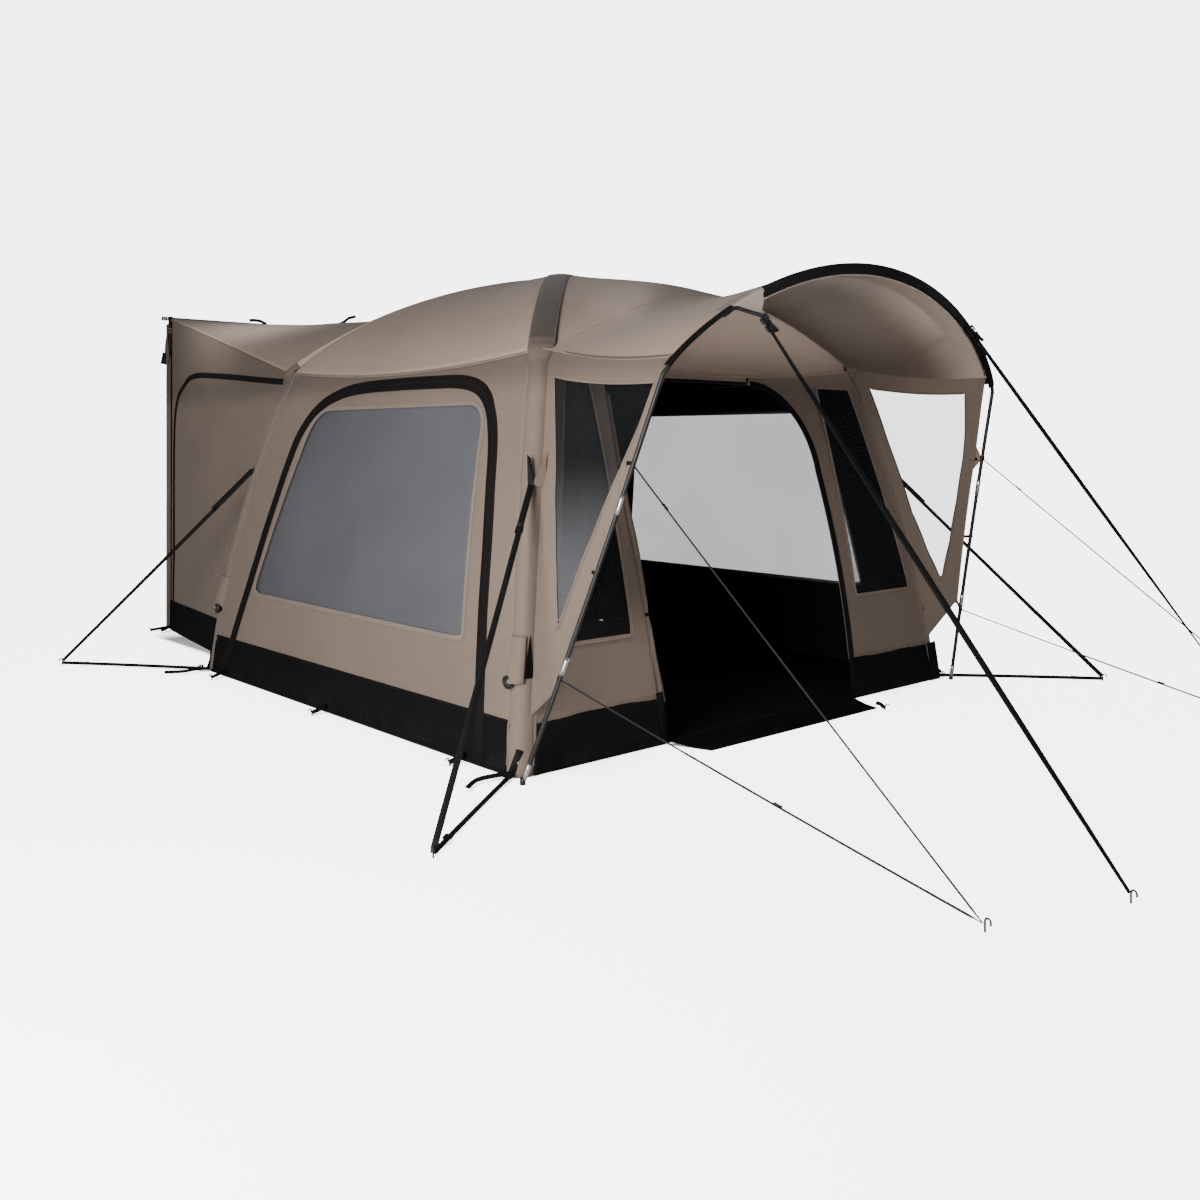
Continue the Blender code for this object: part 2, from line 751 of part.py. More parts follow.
def door_header():
    """Strip of the front wall over the door, from the left wall to the right one."""
    grid = []
    start = -DOOR_LEFT_HIGH + GAP
    for level in linspace(0.0, 1.0, 3):
        row = []
        for x in linspace(start, DOOR_ROUND_X - GAP, 13):
            top = front_seam(x) - GAP
            z = DOOR_TOP_Z + (top - DOOR_TOP_Z) * level
            row.append(Vector((x, -corner_y(z), z)))
        grid.append(row)
    add_object("door_header", sheet(grid, offset_grid(grid, (0.0, CLOTH, 0.0))), TAUPE)


def rolled_door():
    """The door panel, gathered along the left edge of the opening and tied there."""
    rings = []
    for z in linspace(ROLL_LOW_Z, ROLL_TOP_Z, 10):
        share = (z - ROLL_LOW_Z) / (ROLL_TOP_Z - ROLL_LOW_Z)
        radius = ROLL_RADIUS_LOW + (ROLL_RADIUS_HIGH - ROLL_RADIUS_LOW) * share
        reach = radius * (0.85 + 0.15 * math.cos(6.0 * z))
        # The opening's edge touches the roll 30 degrees round from its front
        x = -door_edge(z, -1) + reach * math.sin(math.pi / 6)
        y = -corner_y(z) + CLOTH + reach * math.cos(math.pi / 6) + 2 * GAP
        ring = []
        for k in range(12):
            angle = 2.0 * math.pi * k / 12
            ring.append((x + reach * math.cos(angle), y + reach * math.sin(angle), z))
        rings.append(ring)
    add_object("rolled_door", loft(rings), TAUPE)


def plate(name, outline, low, high, colour):
    rings = [[(x, y, z) for x, y in outline] for z in (low, high)]
    return add_object(name, loft(rings), colour)


def floor_pieces():
    """Groundsheet inside the walls and the flap folded out in front of the door."""
    wall = 0.0008 + CLOTH
    leg_x = BASE_X - LEG_IN_X - 3 * GAP
    leg_y = BASE_Y - LEG_IN_Y - 3 * GAP
    out_x = BASE_X - wall
    out_y = BASE_Y - wall
    rear_y = BASE_Y - 0.002
    door_left = DOOR_LEFT_LOW - 3 * GAP
    door_right = DOOR_RIGHT_LOW - 3 * GAP
    outline = [(leg_x, -out_y), (leg_x, -leg_y), (out_x, -leg_y), (out_x, leg_y),
               (leg_x, leg_y), (leg_x, rear_y), (-leg_x, rear_y), (-leg_x, leg_y),
               (-out_x, leg_y), (-out_x, -leg_y), (-leg_x, -leg_y), (-leg_x, -out_y),
               (-door_left, -out_y), (-door_left, -BASE_Y), (door_right, -BASE_Y),
               (door_right, -out_y)]
    plate("groundsheet", outline, 0.0, 0.006, BLACK_CLOTH)
    near = -(BASE_Y + GAP)
    far = near - FLAP_DEPTH
    flap = [(-FLAP_HALF, near), (-FLAP_HALF, far), (FLAP_HALF, far), (FLAP_HALF, near)]
    plate("door_flap", flap, 0.0, 0.005, BLACK_CLOTH)


# Wings

def wing(side):
    """Wing from the front air beam to the arch leg, with its three-cornered window."""
    label = "left" if side < 0 else "right"
    canopy = canopy_grid()
    edge_start = canopy[0][0]
    edge_stop = canopy[-1][0]
    below = CLOTH + 0.004
    share = (-(SHOULDER_Y + 0.006) - edge_start.y) / (edge_stop.y - edge_start.y)
    top_rear = edge_start.z + (edge_stop.z - edge_start.z) * share - below
    top_front = edge_start.z + (edge_stop.z - edge_start.z) * 0.97 - below
    low_front = WING_FOOT_Z + 0.10

    def place(u, v):
        """From the beam (u 0) to the arch (u 1), and from the foot (v 0) to the top (v 1)."""
        z_rear = WING_FOOT_Z + (top_rear - WING_FOOT_Z) * v
        rear = Vector((-(corner_x(z_rear) - WING_SEAT), -(corner_y(z_rear) + 4 * GAP), z_rear))
        z_front = low_front + (top_front - low_front) * v
        x_front = arch_x(z_front) - 0.02
        y_front = arch_y(z_front) + WING_CLEAR + WING_BOW * math.sin(math.pi * v) * 0.8
        front = Vector((-x_front, y_front, z_front))
        point = rear.lerp(front, u)
        if side > 0:
            point.x = -point.x
        point.x += arch_skew(z_front) * u
        return point

    def edge(start, stop):
        return lambda t: (start[0] + (stop[0] - start[0]) * t, start[1] + (stop[1] - start[1]) * t)

    outer = chain_sides((edge((0, 0), (1, 0)), edge((1, 0), (1, 1)),
                         edge((1, 1), (0, 1)), edge((0, 1), (0, 0))), 12)
    corners = [(0.36, 0.17), (0.62, 0.17), (0.92, 0.975), (0.10, 0.975)]
    sides = rounded_sides(corners, (0.0, 0.0, 0.0, 0.0), 12)
    window = [point for chain in sides for point in chain]
    inward = (-side * CLOTH, 0.0, 0.0)
    add_object("wing_" + label, ring_panel(outer, window, place, inward), TAUPE)
    film = film_panel(window, place, FILM_INSET, (-side, 0.0, 0.0))
    add_object("wing_window_" + label, film, CLEAR_FILM, 0.2, 0.0, 0.3)


# Tunnel

def tunnel_section(z):
    """Plan of the tunnel's side wall at one height: its outer and its inner points."""
    level = min(z, SHOULDER_Z)
    share = level / SHOULDER_Z
    seat = Vector((-(corner_x(level) - 0.02), corner_y(level) + GAP + CLOTH))
    turn_x = TUNNEL_FRONT_X + (TUNNEL_FRONT_TOP_X - TUNNEL_FRONT_X) * share
    turn = Vector((-turn_x, corner_y(level) + GAP + CLOTH))
    rear = Vector((-TUNNEL_REAR_X, TUNNEL_REAR_Y - LINK_POLE_RADIUS - 2 * GAP))
    outer = [seat, turn] + [turn.lerp(rear, k / 4) for k in range(1, 5)]
    inner = [Vector((seat.x, seat.y - CLOTH)), Vector((turn.x + CLOTH, turn.y - CLOTH))]
    inner += [Vector((p.x + CLOTH, p.y)) for p in outer[2:]]
    return outer, inner


def tunnel_roof_edge(y):
    start = SHOULDER_Y + 0.004
    share = max(0.0, (y - start) / (TUNNEL_REAR_Y - start))
    return SHOULDER_Z + (TUNNEL_TOP_Z - SHOULDER_Z) * share


def tunnel_grid(heights):
    """Outer and inner points of the tunnel's side wall, from a height for each row and column."""
    outer = []
    inner = []
    for row in heights:
        row_out = []
        row_in = []
        for column, z in enumerate(row):
            section = tunnel_section(z)
            row_out.append(Vector((*section[0][column], z)))
            row_in.append(Vector((*section[1][column], z)))
        outer.append(row_out)
        inner.append(row_in)
    return outer, inner


def tunnel_wall(side):
    label = "left" if side < 0 else "right"
    low = SKIRT_Z + GAP
    tops = [tunnel_roof_edge(p.y) - CLOTH - 2 * GAP for p in tunnel_section(SHOULDER_Z)[0]]
    levels = wall_levels(low, tops[0])
    wall = [[low + (top - low) * (z - low) / (tops[0] - low) for top in tops] for z in levels]
    skirt = [[z] * len(tops) for z in (0.0, SKIRT_Z)]
    for name, heights, colour in (("tunnel_wall_", wall, TAUPE),
                                  ("tunnel_skirt_", skirt, BLACK_CLOTH)):
        outer, inner = tunnel_grid(heights)
        solid = sheet(side_points(outer, side), side_points(inner, side))
        add_object(name + label, solid, colour)


def tunnel_roof():
    grid = []
    start_y = SHOULDER_Y + 0.004
    stop_y = TUNNEL_REAR_Y - LINK_POLE_RADIUS - 2 * GAP
    for v in linspace(0.0, 1.0, 7):
        row = []
        half = SHOULDER_X + (TUNNEL_REAR_X - SHOULDER_X) * v
        y = start_y + (stop_y - start_y) * v
        share = (y - start_y) / (TUNNEL_REAR_Y - start_y)
        for across in linspace(-1.0, 1.0, 17):
            arc = rear_arc(SHOULDER_X * across)
            row.append(Vector((half * across, y, arc + (TUNNEL_TOP_Z - arc) * share)))
        grid.append(row)
    add_object("tunnel_roof", sheet(grid, offset_grid(grid, (0.0, 0.0, -CLOTH))), TAUPE)


def link_pole():
    """Pole in the tunnel's rear hem, with a flat strip behind it that lies on the vehicle."""
    z = TUNNEL_TOP_Z - CLOTH / 2
    rings = []
    for x in (-LINK_POLE_HALF, LINK_POLE_HALF):
        ring = []
        for k in range(7):
            angle = math.radians(90.0 + 180.0 * k / 6)
            ring.append((x, TUNNEL_REAR_Y + LINK_POLE_RADIUS * math.cos(angle),
                         z + LINK_POLE_RADIUS * math.sin(angle)))
        ring.append((x, TUNNEL_REAR_Y + LINK_POLE_RADIUS * 0.8, z - LINK_POLE_RADIUS))
        ring.append((x, TUNNEL_REAR_Y + LINK_POLE_RADIUS * 0.8, z + LINK_POLE_RADIUS))
        rings.append(ring)
    add_object("link_pole", loft(rings), (0.45, 0.45, 0.46), 0.35, 0.8)


# Straps, guys and pegs

def peg(name, x, y, toward):
    """Visible head of a ground peg: a short post with a hook that points away from the load."""
    away = -Vector((toward[0], toward[1], 0.0)).normalized()
    points = [Vector((x, y, 0.0)), Vector((x, y, PEG_HEIGHT - 0.01)),
              Vector((x, y, PEG_HEIGHT)) + away * 0.012,
              Vector((x, y, PEG_HEIGHT - 0.012)) + away * 0.024]
    rings = []
    for index, point in enumerate(points):
        along = points[min(index + 1, 3)] - points[max(index - 1, 0)]
        along.normalize()
        if index == 0:
            along = Vector((0.0, 0.0, 1.0))
        flat = Vector((-away.y, away.x, 0.0))
        up = along.cross(flat).normalized()
        ring = []
        for k in range(6):
            angle = 2.0 * math.pi * (k + 0.5) / 6
            ring.append(point + (flat * math.cos(angle) + up * math.sin(angle)) * PEG_RADIUS)
        rings.append(ring)
    add_object(name, loft(rings), (0.05, 0.05, 0.05), 0.4, 0.9)


def peg_clearance(pull):
    """How far a strap that pulls upwards ends from the middle of its peg."""
    level = math.hypot(pull.x, pull.y)
    return (PEG_RADIUS + STRAP_THICK / 2 * pull.z + 2 * GAP) / level


def corner_straps(name, sign_x, sign_y):
    peg_x, peg_y = PEGS[name]
    turn = CORNER_ROUND * (1.0 - math.sqrt(0.5))
    anchor = Vector((sign_x * (corner_x(ANCHOR_Z) - turn), sign_y * (corner_y(ANCHOR_Z) - turn),
                     ANCHOR_Z))
    foot = Vector((sign_x * BASE_X, sign_y * (BASE_Y - CORNER_ROUND), STRAP_THICK / 2))
    spot = Vector((peg_x, peg_y, 0.022))
    pull = (anchor - spot).normalized()
    start = anchor - pull * STRAP_SEAT
    stop = spot + pull * peg_clearance(pull)
    add_object("storm_strap_" + name, ribbon(start, stop), BLACK_CLOTH)
    spot.z = STRAP_THICK / 2
    pull = (foot - spot).normalized()
    start = foot - pull * (STRAP_WIDE / 2 * abs(pull.y) + 2 * GAP) / abs(pull.x)
    stop = spot + pull * (PEG_RADIUS + 0.0006)
    add_object("ground_strap_" + name, ribbon(start, stop), BLACK_CLOTH)
    peg("peg_" + name, peg_x, peg_y, pull)


def porch_lines(side):
    label = "left" if side < 0 else "right"
    top = arch_top(CANOPY_STRAP_X)
    anchor = Vector((side * CANOPY_STRAP_X + arch_skew(top), arch_y(top), top))
    spot = Vector((*CANOPY_PEGS[label], 0.022))
    pull = (anchor - spot).normalized()
    start = anchor - pull * (ARCH_RADIUS + CANOPY_STRAP_SEATS[label])
    stop = spot + pull * peg_clearance(pull)
    add_object("canopy_strap_" + label, ribbon(start, stop), BLACK_CLOTH)
    peg("peg_canopy_" + label, spot.x, spot.y, pull)

    spot = Vector((side * GUY_PEG[0], GUY_PEG[1], 0.015))
    ends = []
    for z in (GUY_HIGH_Z, GUY_LOW_Z):
        hold = Vector((side * arch_x(z) + arch_skew(z), arch_y(z), z))
        ends.append(hold + (spot - hold).normalized() * (ARCH_RADIUS + 0.0012))
    aim = ((ends[0] + ends[1]) / 2 - spot).normalized()
    half_angle = (ends[0] - spot).angle(ends[1] - spot) / 2.0
    bend = spot + aim * (PEG_RADIUS + GUY_RADIUS / math.sin(half_angle) + 2 * GAP)
    add_object("guy_" + label, guy_mesh(ends[0], bend, ends[1]), BLACK_CLOTH)
    peg("peg_guy_" + label, spot.x, spot.y, aim)


def guy_mesh(high, bend, low):
    """One thin line from the arch to the peg and back, round in section."""
    first = (high - bend).normalized()
    second = (low - bend).normalized()
    flat = first.cross(second).normalized()
    rings = []
    for point, along in ((high, first), (bend, None), (low, second)):
        if along is None:
            up = (first - second).normalized().cross(flat).normalized()
            stretch = 1.0 / math.sin(first.angle(second) / 2.0)
        else:
            up = along.cross(flat).normalized()
            stretch = 1.0
        if up.dot(first + second) < 0 and along is None:
            up = -up
        if along is first:
            up = up if up.dot(second) > 0 else -up
        if along is second:
            up = up if up.dot(first) > 0 else -up
        ring = []
        for k in range(6):
            angle = 2.0 * math.pi * (k + 0.5) / 6
            ring.append(point + flat * GUY_RADIUS * math.cos(angle)
                        + up * GUY_RADIUS * stretch * math.sin(angle))
        rings.append(ring)
    return loft(rings)


def build():
    clear_scene()
    beam("beam_front_left", -1, -1)
    beam("beam_front_right", 1, -1)
    beam("beam_rear_left", -1, 1)
    beam("beam_rear_right", 1, 1)
    crown_hub()
    roof_panels()
    arch_pole()
    porch_canopy()
    front_gable()
    for side in (-1, 1):
        side_wall(side)
        front_wall(side)
        wing(side)
        tunnel_wall(side)
        porch_lines(side)
    tunnel_roof()
    link_pole()
    door_header()
    rolled_door()
    floor_pieces()
    corner_straps("front_left", -1, -1)
    corner_straps("front_right", 1, -1)
    corner_straps("rear_left", -1, 1)
    corner_straps("rear_right", 1, 1)


build()
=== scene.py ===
"""Looks of the inflatable campervan awning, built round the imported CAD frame.

Metres, +Z up, the frame's own axes: the porch faces -Y, the tunnel runs to +Y.
"""

import math

import bmesh
import bpy
import numpy as np
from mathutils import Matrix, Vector, noise
from mathutils.bvhtree import BVHTree


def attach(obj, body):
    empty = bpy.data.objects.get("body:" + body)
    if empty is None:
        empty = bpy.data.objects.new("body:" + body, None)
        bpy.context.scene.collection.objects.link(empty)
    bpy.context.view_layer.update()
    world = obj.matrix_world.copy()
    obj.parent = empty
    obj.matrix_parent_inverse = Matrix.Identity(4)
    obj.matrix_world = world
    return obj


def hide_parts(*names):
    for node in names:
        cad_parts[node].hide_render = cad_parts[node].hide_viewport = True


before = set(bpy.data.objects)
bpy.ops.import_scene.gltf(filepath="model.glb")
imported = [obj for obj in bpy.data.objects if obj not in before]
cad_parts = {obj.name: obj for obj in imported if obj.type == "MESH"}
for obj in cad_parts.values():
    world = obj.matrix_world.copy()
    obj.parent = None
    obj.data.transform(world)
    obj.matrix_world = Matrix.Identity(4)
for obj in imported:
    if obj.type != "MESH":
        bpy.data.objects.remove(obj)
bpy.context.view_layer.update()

# Sizes that the CAD source names too
BASE_X, BASE_Y = 1.63, 1.63
SHOULDER_X, SHOULDER_Y, SHOULDER_Z = 1.235, 1.29, 1.90
CROWN_Z = 2.475
LEG_BOW = 0.05
ROOF_CURVE = 0.92
BEAM_HALF = 0.06
BEAM_DEPTH = 0.11
HUB_SHARE = 0.10
CREASE_REACH, CREASE_TURN = 0.26, 0.42
SKIRT_Z = 0.22
SIDE_SAG, DOOR_SEAM_SAG = 0.07, 0.085
FRONT_ARC, FRONT_ARC_POWER = 0.32, 1.5
REAR_ARC, REAR_ARC_POWER = 0.43, 1.15
FRONT_HALFWAY_DROP = 0.03
DOOR_TOP_Z = 1.77
DOOR_ROUND_X, DOOR_ROUND_Z = 0.20, 1.28
DOOR_RIGHT_LOW, DOOR_RIGHT_HIGH = 0.745, 0.655
DOOR_LEFT_LOW, DOOR_LEFT_HIGH, DOOR_LEFT_BEND_Z = 0.745, 0.868, 1.15
ARCH_FOOT_X, ARCH_FOOT_Y, ARCH_LEAN = 1.66, -1.694, 0.267
ARCH_SHOULDER_X, ARCH_SHOULDER_Z, ARCH_TOP_Z = 1.31, 1.73, 2.295
ARCH_POWER, ARCH_BOW, ARCH_SKEW, ARCH_RADIUS = 0.78, 0.0155, 0.03, 0.011
WING_FOOT_Z, WING_SEAT, WING_BOW, WING_CLEAR = 0.24, 0.055, 0.05, 0.022
TUNNEL_REAR_X, TUNNEL_REAR_Y, TUNNEL_TOP_Z = 1.19, 3.35, 2.41
TUNNEL_FRONT_X, TUNNEL_FRONT_TOP_X = 1.42, 1.17
LINK_POLE_RADIUS, LINK_POLE_HALF = 0.015, 1.25
ANCHOR_Z = 1.28
PEGS = {"front_left": (-2.43, -2.18), "front_right": (2.30, -2.34),
        "rear_left": (-2.27, 2.40), "rear_right": (2.27, 2.40)}
CANOPY_PEGS = {"left": (-1.006, -3.983), "right": (0.85, -3.86)}
CANOPY_STRAP_X = 0.87
CANOPY_SHARE = 0.955
GUY_PEG = (1.549, -3.792)
GUY_HIGH_Z, GUY_LOW_Z = 1.36, 0.45

DIAGONAL = math.hypot(SHOULDER_X, SHOULDER_Y)
LEG_IN_X = BEAM_HALF * DIAGONAL / SHOULDER_Y
LEG_IN_Y = BEAM_HALF * DIAGONAL / SHOULDER_X
CLOTH, FLAP, THIN, FILM = 0.0016, 0.0014, 0.0012, 0.0008
SIDES = ((-1, "left"), (1, "right"))
PEG_TOP_Z, PEG_WIRE, STRAP_END = 0.026, 0.0036, 0.006
GUY_RADIUS, GUY_DOUBLE_RADIUS = 0.0036, 0.0044
CANOPY_SAG = 0.03
WING_LOW_FRONT = {-1: 0.15, 1: 0.26}
TUNNEL_TURN = 0.12
SEARCH_START, SEARCH_REACH = 0.06, 0.12
PHOTO_PIXELS, PHOTO_FOCAL, PHOTO_HORIZON = 1200.0, 1171.0, 441.0


# Camera, floor and light

def make_camera():
    data = bpy.data.cameras.new("photo_view")
    camera = bpy.data.objects.new("photo_view", data)
    bpy.context.scene.collection.objects.link(camera)
    data.sensor_width = 36.0
    data.lens = PHOTO_FOCAL / PHOTO_PIXELS * data.sensor_width
    data.shift_y = -(PHOTO_PIXELS / 2.0 - PHOTO_HORIZON) / PHOTO_PIXELS
    camera.location = (-4.717, -5.636, 1.46)
    camera.rotation_euler = (math.pi / 2, 0.0, -math.radians(41.6))
    bpy.context.scene.camera = camera


def link(item):
    bpy.context.scene.collection.objects.link(item)
    return item


def make_light(name, place, aim, size, power, colour, spread=180.0):
    data = bpy.data.lights.new(name, "AREA")
    data.shape = "RECTANGLE"
    data.size, data.size_y = size
    data.energy = power
    data.spread = math.radians(spread)
    data.color = colour
    lamp = link(bpy.data.objects.new(name, data))
    lamp.location = place
    lamp.rotation_euler = (Vector(aim) - Vector(place)).to_track_quat("-Z", "Y").to_euler()


# Materials

PAINTED_LIT_EDGE_DEPTH = 0.42
DUST_TOP, DUST = 0.16, (0.16, 0.14, 0.12)
STITCH_SHARE, STITCH_WIDTH = 0.68, 0.0006
ZIP_HALF, ZIP_PITCH = 0.13, 1570.0


class Tree:
    """A material's nodes, made with few words."""

    def __init__(self, name):
        self.material = bpy.data.materials.new(name)
        self.material.use_nodes = True
        self.tree = self.material.node_tree
        self.shader = self.tree.nodes["Principled BSDF"]
        self.output = self.tree.nodes["Material Output"]

    def put(self, socket, value):
        if isinstance(value, bpy.types.NodeSocket):
            self.tree.links.new(value, socket)
        else:
            socket.default_value = value

    def add(self, kind, out=0, props=(), **inputs):
        node = self.tree.nodes.new("ShaderNode" + kind)
        for key, value in dict(props).items():
            setattr(node, key, value)
        for key, value in inputs.items():
            if key.startswith("i"):
                socket = node.inputs[int(key[1:])]
            else:
                socket = node.inputs[key.replace("_", " ")]
            self.put(socket, value)
        return node.outputs[out]

    def maths(self, operation, a, b=0.0, c=0.0):
        return self.add("Math", props={"operation": operation}, i0=a, i1=b, i2=c)

    def noise(self, coords, scale, detail=2.0, rough=0.5):
        return self.add("TexNoise", Vector=coords, Scale=scale, Detail=detail, Roughness=rough)

    def stretch(self, coords, scale, turn=(0.0, 0.0, 0.0)):
        return self.add("Mapping", Vector=coords, Rotation=turn, Scale=scale)

    def ramp(self, value, low, high, out_low=0.0, out_high=1.0):
        return self.add("MapRange", Value=value, From_Min=low, From_Max=high,
                        To_Min=out_low, To_Max=out_high)

    def vary(self, noise_value, low, high):
        """A noise, turned into a value from low to high."""
        return self.ramp(noise_value, 0.3, 0.7, low, high)

    def step(self, value, low, high, out_low, out_high):
        return self.add("MapRange", props={"interpolation_type": "SMOOTHSTEP"}, Value=value,
                        From_Min=low, From_Max=high, To_Min=out_low, To_Max=out_high)

    def axis(self, coords, index):
        return self.add("SeparateXYZ", out=index, Vector=coords)

    def times(self, first, *others):
        for other in others:
            first = self.maths("MULTIPLY", first, other)
        return first

    def wave(self, coords, way, scale):
        return self.add("TexWave", out=1, props={"bands_direction": way}, Vector=coords,
                        Scale=scale, Distortion=0.3, Detail=1.0)

    def bump(self, strength, distance, height, **below):
        return self.add("Bump", Strength=strength, Distance=distance, Height=height, **below)

    def finish(self, base, rough, bump, **values):
        """Joins the colour, the roughness and the bump, and sets the other values."""
        self.put(self.shader.inputs["Base Color"], base)
        self.put(self.shader.inputs["Roughness"], rough)
        self.put(self.shader.inputs["Normal"], bump)
        for key, value in values.items():
            self.shader.inputs[key.replace("_", " ")].default_value = value
        return self.material

    def mix(self, share, a, b, blend="MIX"):
        node = self.tree.nodes.new("ShaderNodeMix")
        node.data_type = "RGBA"
        node.blend_type = blend
        self.put(node.inputs[0], share)
        self.put(node.inputs[6], a)
        self.put(node.inputs[7], b)
        return node.outputs[2]

    def tinted(self, colour, factor):
        """The colour times a grey factor."""
        grey = self.add("CombineColor", Red=factor, Green=factor, Blue=factor)
        return self.mix(1.0, (*colour, 1.0), grey, "MULTIPLY")


def cloth_material(name, colour, rough=0.82, vary=0.05, level=True, weave=260.0, weave_bump=0.25,
                   crease=0.004, sheen=0.12, dusty=0.0, shine=0.25, painted_lit_edge=None, by_height=()):
    """Coated woven cloth: threads both ways, slubs, soft creases and uneven colour, with painted
    light and shade where height steps or a lit edge are given.
    """
    t = Tree(name)
    place = t.add("TexCoord", out=3)
    turned = t.stretch(place, (1.0, 1.0, 1.0), (0.0, 0.0, math.pi / 4))
    threads = t.maths("MAXIMUM", t.wave(turned, "X", weave),
                      t.wave(turned, "Z" if level else "Y", weave))
    broad = t.noise(place, 1.7, 3.0)
    fine = t.noise(place, 22.0, 3.0, 0.6)
    slub = t.noise(t.stretch(place, (12.0, 12.0, 260.0)), 1.0, 1.0)
    factor = t.times(t.vary(broad, 1.0 - vary, 1.0 + vary),
                     t.vary(fine, 1.0 - vary * 0.5, 1.0 + vary * 0.5),
                     t.ramp(slub, 0.35, 0.65, 0.975, 1.025), t.ramp(threads, 0.0, 1.0, 0.95, 1.02))
    # Colour steps by height: painted light and shade on the wall and roof cloths
    for low, high, at_low, at_high in by_height:
        factor = t.times(factor, t.step(t.axis(place, 2), low, high, at_low, at_high))
    base = t.tinted(colour, factor)
    # Painted light: a lighter colour near the pole's front edge
    if painted_lit_edge:
        forward = t.maths("ADD", t.axis(place, 1), t.times(t.axis(place, 2), ARCH_LEAN))
        near = t.step(forward, ARCH_FOOT_Y, ARCH_FOOT_Y + PAINTED_LIT_EDGE_DEPTH, 1.0, 0.0)
        base = t.mix(near, base, t.tinted(painted_lit_edge, factor))
    if dusty:
        low = t.ramp(t.axis(place, 2), 0.0, DUST_TOP, 1.0, 0.0)
        spots = t.ramp(t.noise(place, 9.0, 4.0, 0.7), 0.42, 0.72)
        base = t.mix(t.times(low, spots, dusty), base, (*DUST, 1.0))
    soft = t.bump(0.55, crease, t.noise(place, 3.2, 2.0, 0.45))
    second = t.bump(0.35, crease * 0.25, t.noise(place, 14.0, 3.0, 0.55), Normal=soft)
    third = t.bump(weave_bump, 0.0004, threads, Normal=second)
    return t.finish(base, t.vary(fine, rough - 0.05, rough + 0.06), third,
                    Sheen_Weight=sheen, Sheen_Roughness=0.5, Specular_IOR_Level=shine)


def band_material(name, colour, rough=0.7, thread=None, rows=(0.8,), ribs=900.0, zipper=False,
                  stitch=0.007, width=0.03, sheen=0.1, shine=0.2):
    """Woven band or seam tape with UVs along it: ribs, rows of stitches, maybe a zip."""
    t = Tree(name)
    uv = t.add("UVMap", props={"uv_map": "along"})
    along, side = t.axis(uv, 0), t.maths("ABSOLUTE", t.axis(uv, 1))
    rib = t.maths("SINE", t.times(along, ribs))
    broad = t.noise(t.add("TexCoord", out=3), 6.0, 3.0)
    factor = t.times(t.vary(broad, 0.88, 1.12), t.ramp(rib, -1.0, 1.0, 0.93, 1.05))
    base = t.tinted(colour, factor)
    height = t.times(rib, 0.15)
    dash = t.maths("LESS_THAN", t.maths("FRACT", t.maths("DIVIDE", along, stitch)), STITCH_SHARE)
    light = thread or tuple(min(1.0, 1.5 * part + 0.02) for part in colour)
    for row in rows:
        near = t.maths("ABSOLUTE", t.maths("SUBTRACT", side, row))
        mark = t.times(t.maths("LESS_THAN", near, STITCH_WIDTH / width * 2.0), dash)
        base = t.mix(mark, base, (*light, 1.0))
        height = t.maths("ADD", height, mark)
    if zipper:
        tooth = t.maths("GREATER_THAN", t.maths("SINE", t.times(along, ZIP_PITCH)), 0.0)
        tooth = t.times(tooth, t.maths("LESS_THAN", side, ZIP_HALF))
        height = t.maths("ADD", height, t.times(tooth, 2.0))
        base = t.mix(t.times(tooth, 0.5), base, (0.02, 0.02, 0.022, 1.0))
    return t.finish(base, t.vary(broad, rough - 0.06, rough + 0.06),
                    t.bump(0.5, 0.0006, height), Sheen_Weight=sheen, Specular_IOR_Level=shine)


def film_material(name, grey, alpha, tint, rough=0.18, by_height=None):
    """Flexible window film: part see-through, softly shiny, a little uneven."""
    t = Tree(name)
    place = t.add("TexCoord", out=3)
    broad = t.noise(place, 1.3, 2.0)
    wave = t.noise(t.stretch(place, (2.0, 2.0, 0.8)), 1.4, 2.0)
    bump = t.bump(0.3, 0.001, t.noise(place, 18.0, 2.0), Normal=t.bump(0.5, 0.01, wave))
    t.finish(t.tinted(grey, t.vary(broad, 0.93, 1.07)),
             t.vary(wave, rough, rough + 0.12), bump, Specular_IOR_Level=0.5)
    share = t.vary(broad, alpha - 0.02, alpha + 0.02)
    if by_height:
        low, high, more = by_height
        share = t.maths("ADD", share, t.step(t.axis(place, 2), low, high, more, 0.0))
    clear = t.add("BsdfTransparent", Color=(*tint, 1.0))
    shade = t.add("MixShader", i0=share, i1=clear, i2=t.shader.outputs[0])
    t.put(t.output.inputs["Surface"], shade)
    return t.material


def hard_material(name, colour, rough, metal, wear=0.3, scale=60.0):
    """Metal or moulded plastic with fine scratches and handling marks."""
    t = Tree(name)
    place = t.add("TexCoord", out=3)
    fine = t.noise(place, scale, 3.0, 0.6)
    broad = t.noise(place, 8.0, 2.0)
    base = t.tinted(colour, t.vary(broad, 0.9, 1.1))
    return t.finish(base, t.vary(fine, rough - 0.08, rough + wear * 0.3),
                    t.bump(0.15, 0.0004, fine), Metallic=metal)


TAUPE = (0.205, 0.158, 0.126)
ROOF_TAUPE = (0.318, 0.240, 0.193)
BAND_TAUPE = (0.070, 0.058, 0.049)
BLACK = (0.006, 0.006, 0.0065)
INNER_BLACK = (0.006, 0.0055, 0.006)
